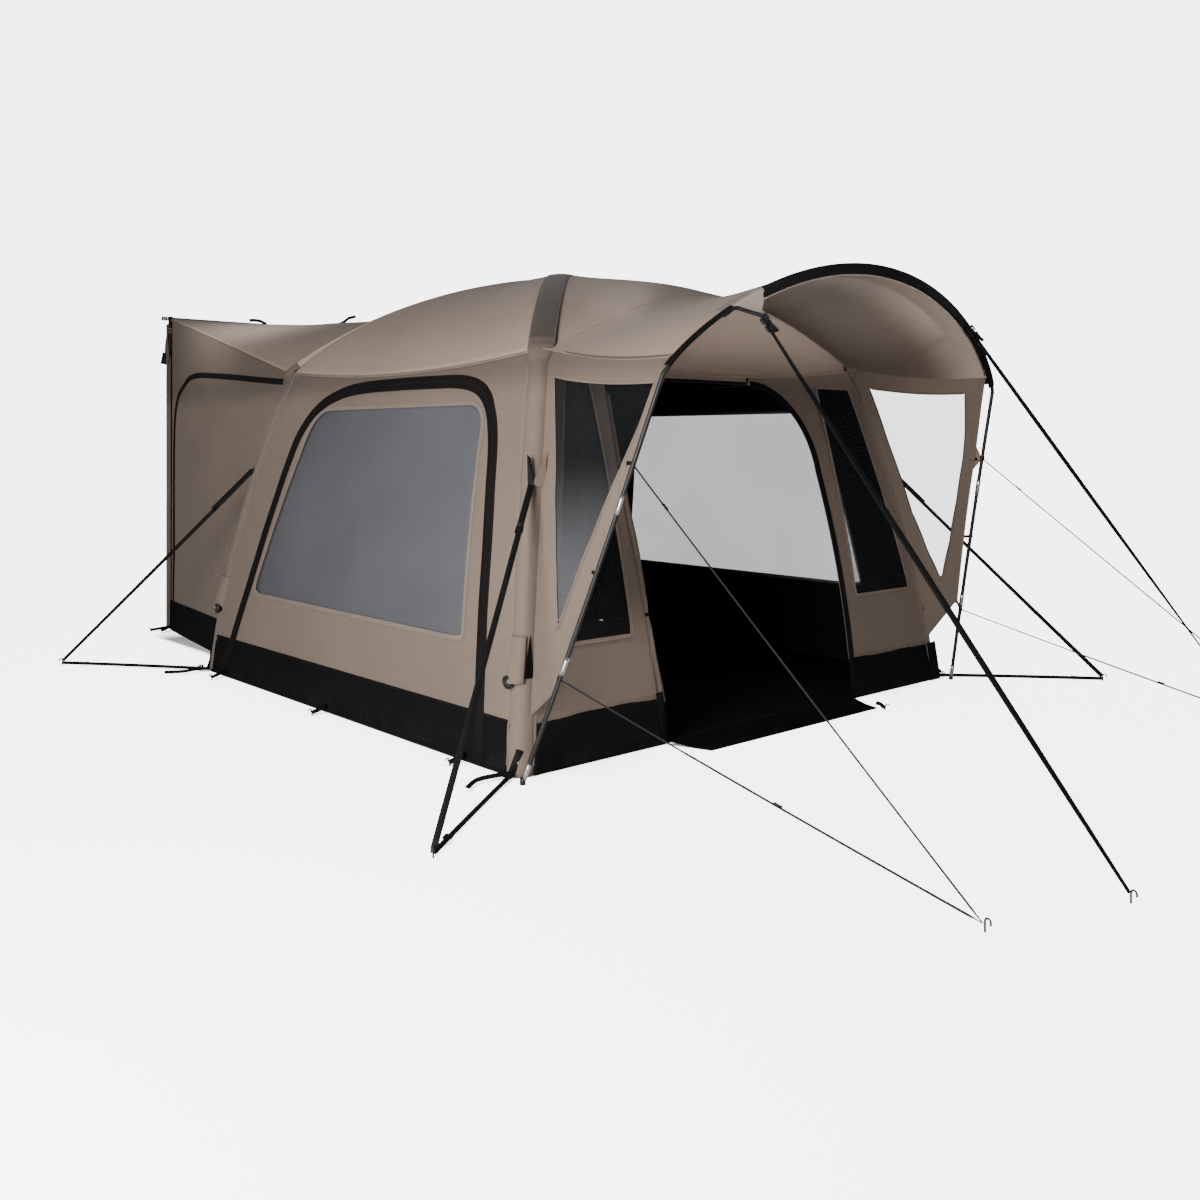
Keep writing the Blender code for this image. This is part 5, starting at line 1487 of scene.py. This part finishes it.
def tunnel_side(side, label):
    shares = [0.0, 0.04, 0.08] + space(TUNNEL_TURN, 1.0, 60)

    def top(share):
        return tunnel_edge(tunnel_spot(side, share, SHOULDER_Z)[1]) - 0.006

    grid = grid_of(lambda level, share: tunnel_spot(side, share, lerp(SKIRT_Z + 0.001, top(share),
                                                                      level)),
                   space(0.0, 1.0, 62), shares)
    folds = [((side * 1.19, 3.33, 2.38), (0.0, -0.8, -1.0), 0.7, 0.5, 0.012, 2.5),
             ((side * 1.25, 1.45, 1.85), (0.0, 0.9, -0.8), 0.6, 0.4, 0.010, 1.5),
             ((side * 1.22, 2.1, 1.05), (0.0, 0.4, -1.0), 0.5, 0.35, 0.018, 1.5)]
    wall = cloth_panel(f"tunnel_wall_{label}", grid, [WALL, INSIDE], "wall_cloth",
                       91 + side, 0.010, folds,
                       centre=TUNNEL_INSIDE, reach=7)
    grid = grid_of(lambda z, share: tunnel_spot(side, share, z), SKIRT_LEVELS, shares)
    grid[:, :, 0] += side * 0.005
    skirt = cloth_panel(f"tunnel_skirt_{label}", grid, [MUD, MUD], "mud_cloth",
                        95 + side, 0.007, centre=TUNNEL_INSIDE, scale=3.0)
    on_both = skin(wall, skirt)
    outline = smooth_chain([Vector((a * TUNNEL_LENGTH, b)) for a, b in TUNNEL_ZIP])
    flats = [(p.x / TUNNEL_LENGTH, p.y) for p in resample(outline, 140)]
    on_wall = on_place(lambda a, b: tunnel_spot(side, a, b), flats, TUNNEL_INSIDE)
    ribbon(f"tunnel_zip_{label}", *on_wall, 0.040, ZIP, "wall_cloth", on=on_both, lift=0.0012)
    edge = [tunnel_spot(side, 0.990, z) for z in space(0.01, TUNNEL_TOP_Z - 0.03, 60)]
    ribbon(f"tunnel_edge_{label}", edge, (side, 0.0, 0.0), 0.026, HEM_BLACK, "webbing",
           on=on_both, lift=0.0015)
    grid = grid_of(lambda z, k: (side * (TUNNEL_REAR_X - 0.004 + 0.0084 * k),
                                 TUNNEL_REAR_Y - 0.020 - 0.001 * k, z),
                   space(0.012, TUNNEL_TOP_Z - 0.05, 60), range(6))
    grid[:, :, 1] += fbm(grid.reshape(-1, 3), 3.0, 41).reshape(grid.shape[:2]) * 0.004
    sheet_piece(f"tunnel_flap_{label}", grid, facing(grid, (0.0, 6.0, 1.2)), FLAP,
                [WALL, WALL], "wall_cloth", ())
    # Lining under the corner of the roofs, behind the beam
    corner = [(side * 1.148, y, z)
              for y, z in ((1.24, 1.84), (1.56, 1.84), (1.56, 1.935), (1.24, 1.925))]
    tab(f"tunnel_lining_{label}", corner, (-side, 0.0, 0.0), INSIDE, "wall_cloth")
    seam = [tunnel_spot(side, share, SHOULDER_Z) for share in space(TUNNEL_TURN, 1.0, 50)]
    seam = [(x, y, tunnel_edge(y) - 0.003) for x, y, z in seam]
    ribbon(f"tunnel_seam_{label}", seam, (side, 0.0, 0.5), 0.008, SEAM, "wall_cloth",
           height=0.0008)


def tunnel_roof():
    def roof_spot(v, across):
        half = lerp(SHOULDER_X, TUNNEL_REAR_X, v)
        y = lerp(SHOULDER_Y + 0.004, TUNNEL_REAR_Y - LINK_POLE_RADIUS, v)
        rise = rear_arc(SHOULDER_X * across)
        share = (y - SHOULDER_Y) / (TUNNEL_REAR_Y - SHOULDER_Y)
        return (half * across, y, lerp(rise, TUNNEL_TOP_Z, share))

    grid = grid_of(roof_spot, space(0.0, 1.0, 60), space(-1.0, 1.0, 76))
    folds = [((side * 1.19, 3.33, 2.41), (-side * 0.6, -1.0, 0.0), 0.7, 0.6, 0.012, 2.5)
             for side in (-1, 1)]
    tunnel_cloth = cloth_panel("tunnel_roof", grid, [ROOF, INSIDE], "roof_cloth",
                               99, 0.008, folds,
                               centre=(0.0, 2.3, 1.0))
    rear_edge = [(x, TUNNEL_REAR_Y - LINK_POLE_RADIUS - 0.006, TUNNEL_TOP_Z)
                 for x in space(-TUNNEL_REAR_X + 0.01, TUNNEL_REAR_X - 0.01, 60)]
    ribbon("tunnel_roof_edge", rear_edge, up(1.0), 0.030, SEAM_DARK, "roof_cloth",
           on=skin(tunnel_cloth))


def link_pole():
    """Pole on the vehicle, with caps, straps that hang from its ends and small ties along it."""
    z = TUNNEL_TOP_Z - 0.006
    ends = [(x, TUNNEL_REAR_Y, z) for x in space(-LINK_POLE_HALF, LINK_POLE_HALF, 24)]
    tube("link_pole_tube", ends, LINK_POLE_RADIUS * 0.93, ALU, "pole_grey", 20,
         nodes=["link_pole"])
    y = TUNNEL_REAR_Y - 0.022
    for side, label in SIDES:
        cap = [(side * x, TUNNEL_REAR_Y, z) for x in (LINK_POLE_HALF - 0.03, LINK_POLE_HALF)]
        tube(f"link_pole_cap_{label}", cap, LINK_POLE_RADIUS * 1.08, ALU, "pole_grey", 20)
        x = side * (TUNNEL_REAR_X + 0.004)
        out = (side * 0.5, -0.86, 0.0)

        def hang(name, width, *run):
            strap(f"tunnel_{name}_{label}",
                  [(x + side * a, y + b, height) for a, b, height in run], out, width)

        hang("strap", 0.034, (0.0, 0.004, 2.422), (0.0, -0.004, 2.39), (0.006, -0.006, 2.33),
             (0.010, -0.008, 2.26), (0.004, -0.008, 2.20), (0.0, -0.006, 2.12))
        hang("tail", 0.020, (0.004, -0.004, 2.36), (0.020, 0.006, 2.28), (0.028, 0.012, 2.20),
             (0.030, 0.014, 2.12))
        buckle(f"tunnel_buckle_{label}", Vector((x + side * 0.008, y - 0.012, 2.31)), up(1.0),
               out, 0.036)
        hang("toggle", 0.060, (0.026, 0.012, 2.14), (0.034, 0.012, 2.09), (0.044, 0.012, 2.05))
    for name, run in (
            ("left", ((-0.55, 0.032), (-0.51, 0.036), (-0.46, 0.034), (-0.42, 0.018),
                      (-0.40, 0.010))),
            ("right", ((0.26, 0.012), (0.27, 0.060), (0.31, 0.078), (0.35, 0.112),
                       (0.42, 0.132)))):
        strap(f"pole_tie_{name}", [(x, y, z + rise) for x, rise in run], (0.0, -0.95, 0.1),
              0.026)


def tunnel():
    for side, label in SIDES:
        tunnel_side(side, label)
    tunnel_roof()
    link_pole()


# Floor and door

def floor_cloths():
    def spot(b, a):
        x, y = 1.627 * a, 1.620 * b
        cut = smooth((abs(a) + abs(b) - 1.86) / 0.12) * 0.08
        return (x - math.copysign(cut, a), y - math.copysign(cut, b), 0.008)

    grid = grid_of(spot, space(-1.0, 1.0, 60), space(-1.0, 1.0, 60))
    cloth_panel("groundsheet", grid, [FLOOR_CLOTH, FLOOR_CLOTH], "mud_cloth",
                101, 0.0025, centre=(0.0, 0.0, -1.0),
                scale=2.5)

    def flap(v, a):
        front = lerp(0.735, 0.66, v)
        return (front * a, -(BASE_Y + 0.002) - 0.228 * v, lerp(0.016, 0.004, smooth(v * 1.5)))

    grid = grid_of(flap, space(0.0, 1.0, 18), space(-1.0, 1.0, 90))
    cloth_panel("door_flap", grid, [MUD, MUD], "mud_cloth",
                103, 0.0018, centre=(0.0, -1.7, -1.0), scale=4.0,
                reach=2)


ROLL_LOW_Z, ROLL_HIGH_Z, ROLL_TURNS = 0.20, 1.70, 4.2
ROLL_TIES = (0.62, 1.33)


def roll(z):
    """Middle and radius of the rolled door panel at a height, before its ties draw it in."""
    radius = lerp(0.062, 0.046, (z - ROLL_LOW_Z) / (ROLL_HIGH_Z - ROLL_LOW_Z))
    radius *= 0.85 + 0.15 * math.cos(6.0 * z)
    return -door_edge(z, -1) + radius * 0.5, -corner_y(z) + 0.012 + radius * 0.87, radius


def rolled_door():
    """The door panel as one sheet, rolled up along the left edge of the opening."""
    rows = []
    for z in space(ROLL_LOW_Z, ROLL_HIGH_Z, 90):
        cx, cy, radius = roll(z)
        reach = radius * (1.0 - sum(0.16 * math.exp(-((z - tie) / 0.035) ** 2)
                                    for tie in ROLL_TIES))
        row = []
        for s in space(0.0, 1.0, 126):
            turn = -2.2 + 2.0 * math.pi * ROLL_TURNS * (1.0 - s)
            spread_out = reach * (0.16 + 0.84 * (1.0 - s) ** 0.9)
            spread_out *= 1.0 + 0.05 * noise.noise(Vector((
                math.cos(turn) * 1.3, math.sin(turn) * 1.3, z * 5.0)))
            row.append((cx + spread_out * math.cos(turn), cy + spread_out * math.sin(turn),
                        z + 0.006 * math.sin(turn) * (1 - s)))
        rows.append(row)
    grid = np.array(rows, float)
    item = shell("rolled_door_cloth", grid, normals_of(grid), THIN, [WALL, WALL])
    finish_piece(item, "wall_cloth", ["rolled_door"])
    for k, z in enumerate(ROLL_TIES):
        cx, cy, radius = roll(z)
        size = radius * 0.84 * 1.06
        outs = [Vector((math.cos(a), math.sin(a), 0.0)) for a in space(0.0, 2 * math.pi, 33)[:-1]]
        path = [Vector((cx, cy, z)) + out * size for out in outs]
        ribbon(f"door_tie_{k + 1}", path, outs, 0.016, HEM_BLACK, "webbing", closed=True)
        spot = Vector((cx - size * 0.6, cy - size * 0.85, z))
        tube(f"door_toggle_{k + 1}", [spot - up(0.02), spot + up(0.02)], 0.006, BUCKLE,
             "pole_black", 10)


# Straps, guys and pegs

def sag(start, stop, drop, count):
    """Points of a line that hangs a little between its ends."""
    return [start.lerp(stop, t) - up(drop * 4.0 * t * (1.0 - t)) for t in space(0.0, 1.0, count)]


def peg(name, x, y, toward):
    """A steel peg whose hook is turned away from its strap's pull."""
    away = -Vector((toward[0], toward[1], 0.0)).normalized()
    base = Vector((x, y, 0.0))
    hook = [base + away * (0.010 - 0.010 * math.cos(turn)) + up(0.033 + 0.010 * math.sin(turn))
            for turn in space(0.0, math.pi, 7)]
    path = [base, base + up(0.018), base + up(0.030), *hook, base + away * 0.020 + up(0.024)]
    tube(f"{name}_hook", path, PEG_WIRE, PEG, "peg_steel", 10, nodes=[name])


def valve_cover(sx, sy, label):
    """Cloth flap that bulges over the beam's valve, with the valve's round cap under its edge."""
    def spot(z, turn):
        bulge = lerp(0.052, 0.026, (z - 0.40) / 0.20)
        return (sx * (corner_x(z) - 0.012 + math.sin(turn) * bulge),
                sy * (corner_y(z) - 0.048 - 0.050 * math.cos(turn)), z)

    grid = grid_of(spot, space(0.40, 0.60, 16), space(0.0, math.pi, 15))
    sheet_piece(f"valve_flap_{label}", grid, facing(grid, (0.0, 0.0, 0.5)), FLAP, [WALL, INSIDE],
                "wall_cloth", ())
    start = Vector((sx * (corner_x(0.405) - 0.01), sy * (corner_y(0.405) - 0.070), 0.405))
    way = Vector((sx * 0.95, 0.0, -0.10))
    tube(f"valve_cap_{label}", [start + way * reach for reach in (0.0, 0.030, 0.032, 0.046)],
         0.026, BUCKLE, "pole_black", 20, radii=[0.026, 0.026, 0.030, 0.030])
    tab(f"valve_shade_{label}", [(sx * (corner_x(z) - inset), sy * (corner_y(z) + 0.003), z)
                                 for z, inset in ((0.60, 0.03), (0.42, 0.005), (0.42, 0.06))],
        (0.0, sy, 0.0), INSIDE, "wall_cloth", 0.003)


def peg_loop(name, x, y, way, reach=0.10):
    """A webbing loop at the foot of a skirt with a small hooked peg."""
    way = Vector((*way, 0.0)).normalized()
    start = Vector((x, y, 0.036))
    strap(f"{name}_loop", [start + way * run + up(rise) for run, rise in (
        (-0.004, 0.0), (0.022, -0.004), (reach * 0.7, -0.016), (reach, -0.020))],
          (-0.45, -0.6, 0.6), 0.026, thick=0.003)
    base = Vector((x, y, 0.0)) + way * reach * 0.95
    tube(f"{name}_peg", [base + way * run + up(rise) for run, rise in (
        (0.0, 0.0), (0.0, 0.022), (0.006, 0.034), (0.016, 0.036), (0.024, 0.028))],
         PEG_WIRE, PEG, "peg_steel", 8)


def strap_frame(anchor, spot):
    """Directions of a strap: the pull from its peg to its anchor, level, and outward."""
    pull = (anchor - spot).normalized()
    flat = Vector((-pull.y, pull.x, 0.0)).normalized()
    return pull, flat, pull.cross(flat)


def storm_strap(label, sx, sy, peg_at):
    """Strap from a leg's shoulder to its peg, with the cloth and webbing that hold it."""
    inset = 0.05 * (1.0 - math.sqrt(0.5)) - 0.004
    anchor = Vector((sx * (corner_x(ANCHOR_Z) - inset), sy * (corner_y(ANCHOR_Z) - inset),
                     ANCHOR_Z))
    spot = Vector((*peg_at, PEG_TOP_Z))
    pull, _, out = strap_frame(anchor, spot)
    stop = spot + pull * STRAP_END
    outs = [Vector((-0.6, -0.7, 0.3 + 0.35 * math.sin(3.0 * t + sx)))
            for t in space(0.0, 1.0, 40)]
    strap(f"storm_strap_{label}_web", sag(anchor, stop, 0.004, 40), outs, 0.026,
          nodes=[f"storm_strap_{label}"])
    tip = anchor - pull * 0.035
    outward = Vector((sx, sy, 0.0)).normalized()
    level = Vector((-sy, sx, 0.0)).normalized() * (sx * sy)

    def at(across, rise, depth=0.0):
        return anchor + level * across + up(rise) - outward * (depth + 0.004)

    if sy < 0:
        tab(f"storm_hold_{label}", [at(-0.026, 0.12), at(-0.008, 0.10), tip + level * 0.014,
                                    tip - level * 0.016], outward, WEB, "webbing")
    tab(f"storm_gusset_{label}", [at(0.062, 0.13, 0.012), tip + level * 0.002,
                                  at(0.058, -0.03, 0.010)], outward, WALL, "wall_cloth", 0.004)
    tab(f"storm_brace_{label}", [tip + level * 0.004, at(0.064, -0.16, 0.012),
                                 at(0.052, -0.15, 0.010)], outward, SEAM_DARK, "wall_cloth", 0.004)
    low, width = (0.16, 0.030) if sy < 0 else (0.21, 0.036)
    tail = [anchor.lerp(stop, t) + out * 0.004 for t in space(0.01, low, 8)]
    strap(f"storm_tail_{label}", tail, (-0.6, -0.7, 0.4), width)
    buckle(f"storm_buckle_{label}", anchor.lerp(stop, low + 0.01), pull,
           -out if out.z < 0 else out, 0.022)


def skirt_wrap():
    """End of the front skirt, drawn round the front right leg."""
    rows = []
    for z in space(0.004, SKIRT_Z + 0.010, 10):
        front = -(corner_y(z) + 0.010)
        row = [(corner_x(z) - LEG_IN_X - 0.006 + 0.012 * k, front, z) for k in range(7)]
        row += [(corner_x(z) - 0.002 + 0.010 * math.sin(a), front + 0.016 * (1 - math.cos(a)), z)
                for a in space(0.2, math.pi / 2, 5)]
        rows.append(row)
    grid = np.array(rows, float)
    sheet_piece("front_skirt_wrap", grid, facing(grid, (0.0, 0.0, 0.1)), FLAP, [MUD, MUD],
                "mud_cloth", ())


FOOT_TAILS = {-1: ((0.0, 0.0, 0.0), (0.10, -0.01, 0.004), (0.18, -0.01, 0.002), (0.27, 0.05, 0.0)),
              1: ((0.0, 0.0, 0.10), (0.030, 0.0, 0.07), (0.055, -0.01, 0.03),
                  (0.095, -0.01, 0.004))}


def ground_strap(label, sx, sy, peg_at):
    """Strap from a leg's foot along the ground to its peg, with its buckles and tail."""
    foot = Vector((sx * BASE_X, sy * (BASE_Y - 0.05), 0.014))
    end = Vector((*peg_at, 0.016))
    back = (foot - end).normalized()
    strap(f"ground_strap_{label}_web", sag(foot, end, -0.002, 24), (-0.55, -0.65, 0.55),
          0.022, nodes=[f"ground_strap_{label}"], thick=0.003)
    hold = Vector((sx * (corner_x(0.12) - 0.010), sy * (corner_y(0.12) - 0.010), 0.12))
    strap(f"foot_hold_{label}", [hold, hold.lerp(foot, 0.5), foot + Vector((sx, sy, 0)) * 0.012],
          (sx, sy, 0.1), 0.032, thick=0.003)
    buckle(f"foot_buckle_{label}", foot.lerp(end, 0.06) + up(0.004), back, (-0.4, -0.5, 0.75),
           0.026)
    turn = sy if sx < 0 else 1
    tail = [foot + Vector((sx * x, turn * y, z + 0.004)) for x, y, z in FOOT_TAILS[sx]]
    strap(f"foot_tail_{label}", smooth_chain(tail, 5), (-0.45, -0.55, 0.7), 0.024)
    buckle(f"ground_buckle_{label}", end + back * 0.16 + up(0.002), back, up(1), 0.022)
    peg(f"peg_{label}", *peg_at, back)


def corner_straps():
    for label, peg_at in PEGS.items():
        sx = -1 if "left" in label else 1
        sy = -1 if "front" in label else 1
        storm_strap(label, sx, sy, peg_at)
        valve_cover(sx, sy, label)
        if label == "front_right":
            skirt_wrap()
        ground_strap(label, sx, sy, peg_at)
    for side, label in SIDES:
        x, y, _ = tunnel_spot(side, 0.985, 0.01)
        for name, *spot, lean, reach in (
                ("wall_1", side * 1.632, -1.24, -0.1, 0.10),
                ("wall_2", side * 1.632, 0.05, -0.1, 0.10),
                ("wall_3", side * 1.632, 1.34, -0.4, 0.12),
                ("tunnel_1", x, y, -0.6, 0.12), ("tunnel_2", x, y - 0.01, 0.35, 0.16)):
            kind, number = name.split("_")
            peg_loop(kind + f"_{label}_{number}", *spot, (side, lean), reach)
    peg_loop("flap_right", 0.64, -1.87, (0.3, -1.0), 0.05)


def canopy_strap(side, label):
    """Webbing from the pole to its peg, with its buckles and tail."""
    anchor = strap_anchor(side)
    spot = Vector((*CANOPY_PEGS[label], PEG_TOP_Z))
    pull, flat, out = strap_frame(anchor, spot)
    start, stop = anchor - pull * (0.105 if side < 0 else 0.016), spot + pull * STRAP_END
    twists = [0.5 * math.sin(4.0 * t + 0.5 * side) for t in space(0.0, 1.0, 60)]
    outs = [out * math.cos(twist) + flat * math.sin(twist) for twist in twists]
    strap(f"canopy_strap_{label}_web", sag(start, stop, 0.006, 60), outs, 0.027,
          nodes=[f"canopy_strap_{label}"])
    for name, share, width in (("buckle", 0.012, 0.034), ("ladder", 0.030, 0.030)):
        buckle(f"canopy_{name}_{label}", start.lerp(stop, share) + out * 0.002, pull, -flat,
               width)
    tail = [start.lerp(stop, t) + out * (0.004 + 0.5 * (t - 0.012)) for t in space(0.012, 0.05, 8)]
    strap(f"canopy_tail_{label}", tail, out + flat * 0.4, 0.027)
    peg(f"peg_canopy_{label}", spot.x, spot.y, pull)


def guy(side, label):
    """Cord from two heights of the pole to one peg, with a slider on each leg."""
    spot = Vector((side * GUY_PEG[0], GUY_PEG[1], 0.020))
    ends = []
    for z in (GUY_HIGH_Z, GUY_LOW_Z):
        hold = Vector((side * arch_x(z) + arch_skew(z), arch_y(z), z))
        ends.append(hold + (spot - hold).normalized() * 0.009)
    aim = ((ends[0] + ends[1]) / 2 - spot).normalized()
    bend = spot + aim * 0.008
    path = sag(ends[0], bend, 0.006, 40) + sag(bend, ends[1], 0.006, 40)[1:]
    tube(f"guy_{label}_line", path, GUY_RADIUS, LINE, "guy_line", 8, nodes=[f"guy_{label}"],
         radii=[GUY_RADIUS] * 40 + [GUY_DOUBLE_RADIUS] * 24 + [GUY_RADIUS] * 15)
    for k, (end, share) in enumerate(((ends[0], 0.12), (ends[1], 0.60))):
        bars(f"guy_slider_{label}_{k + 1}",
             [((0.0, 0.0, 0.0), (0.016, 0.0045, 0.0022)),
              ((0.013, 0.0, 0.0), (0.003, 0.006, 0.0028)),
              ((-0.013, 0.0, 0.0), (0.003, 0.006, 0.0028))],
             end.lerp(bend, share), bend - end, up(1), BUCKLE, "pole_black")
    peg(f"peg_guy_{label}", spot.x, spot.y, aim)


def porch_lines():
    for side, label in SIDES:
        canopy_strap(side, label)
        guy(side, label)


FLOOR_REACH = 60.0
# Name, place, aim, size, power, colour and spread of each light
LIGHTS = (("key", (-6.0, -3.6, 1.9), (-0.6, -0.3, 1.3), (1.6, 2.8), 430.0, (1.0, 0.985, 0.96)),
          ("front_fill", (0.5, -7.5, 1.6), (0.2, -1.0, 1.7), (3.0, 2.0), 18.0, (1.0, 0.98, 0.97)),
          ("low_light", (0.4, -6.0, 0.9), (-1.15, -1.6, 0.45), (0.7, 0.3), 0.5,
           (1.0, 0.98, 0.97), 8.0),
          ("porch_light", (-1.2, -6.2, 1.9), (0.22, -1.3, 2.13), (1.9, 0.16), 2.6,
           (1.0, 0.97, 0.95), 8.0),
          ("tunnel_light", (-6.2, 0.6, 4.6), (-0.85, 2.6, 2.35), (0.6, 0.4), 3.4,
           (1.0, 0.985, 0.96), 12.0))


def studio():
    """Pale floor that meets a white background, a soft key from the front left and a fill; the
    floor's glow carries painted shade.
    """
    world = bpy.data.worlds.new("studio")
    bpy.context.scene.world = world
    world.use_nodes = True
    nodes, links = world.node_tree.nodes, world.node_tree.links
    background, seen = nodes["Background"], nodes.new("ShaderNodeBackground")
    for node, strength in ((background, 0.17), (seen, 5.2)):
        node.inputs["Color"].default_value = (1.0, 1.0, 1.0, 1.0)
        node.inputs["Strength"].default_value = strength
    ray = nodes.new("ShaderNodeLightPath")
    blend = nodes.new("ShaderNodeMixShader")
    links.new(ray.outputs["Is Camera Ray"], blend.inputs[0])
    links.new(background.outputs[0], blend.inputs[1])
    links.new(seen.outputs[0], blend.inputs[2])
    links.new(blend.outputs[0], nodes["World Output"].inputs["Surface"])

    t = Tree("studio_floor")
    place = t.add("TexCoord", out=3)
    t.put(t.shader.inputs["Base Color"],
          t.tinted((0.93, 0.93, 0.93), t.vary(t.noise(place, 3.0), 0.99, 1.01)))
    t.shader.inputs["Roughness"].default_value = 0.9
    # Painted shadow: the floor's glow fades where ambient occlusion finds cloth close by
    closed_in = t.add("AmbientOcclusion", out=1, props={"samples": 12}, Distance=1.1)

    # Painted shade: under the roofs the floor's glow is dimmed nearly to dark
    def inside(index, start, stop, edge):
        where = t.axis(place, index)
        return t.times(t.ramp(where, start, start + edge),
                       t.ramp(where, stop - edge, stop, 1.0, 0.0))

    dark = t.times(inside(0, -1.42, 1.42, 0.05), inside(1, -1.5, 3.3, 0.35))
    glow_after_painted_shade = t.times(t.step(closed_in, 0.15, 0.64, 0.0, 5.0), t.ramp(dark, 0.0, 1.0, 1.0, 0.05))
    glow = t.add("Emission", Color=(1.0, 1.0, 1.0, 1.0),
                 Strength=t.times(t.add("LightPath"), glow_after_painted_shade))
    t.put(t.output.inputs["Surface"], t.add("AddShader", i0=t.shader.outputs[0], i1=glow))
    mesh = bpy.data.meshes.new("floor")
    mesh.from_pydata([(x * FLOOR_REACH, y * FLOOR_REACH, -0.001)
                      for x, y in ((-1, -1), (1, -1), (1, 1), (-1, 1))], [], [(0, 1, 2, 3)])
    mesh.materials.append(t.material)
    link(bpy.data.objects.new("floor", mesh))
    for row in LIGHTS:
        make_light(*row)


make_camera()
studio()
roof()
beams()
hub()
side_walls()
front_walls()
gable()
porch()
wings()
tunnel()
floor_cloths()
rolled_door()
corner_straps()
porch_lines()
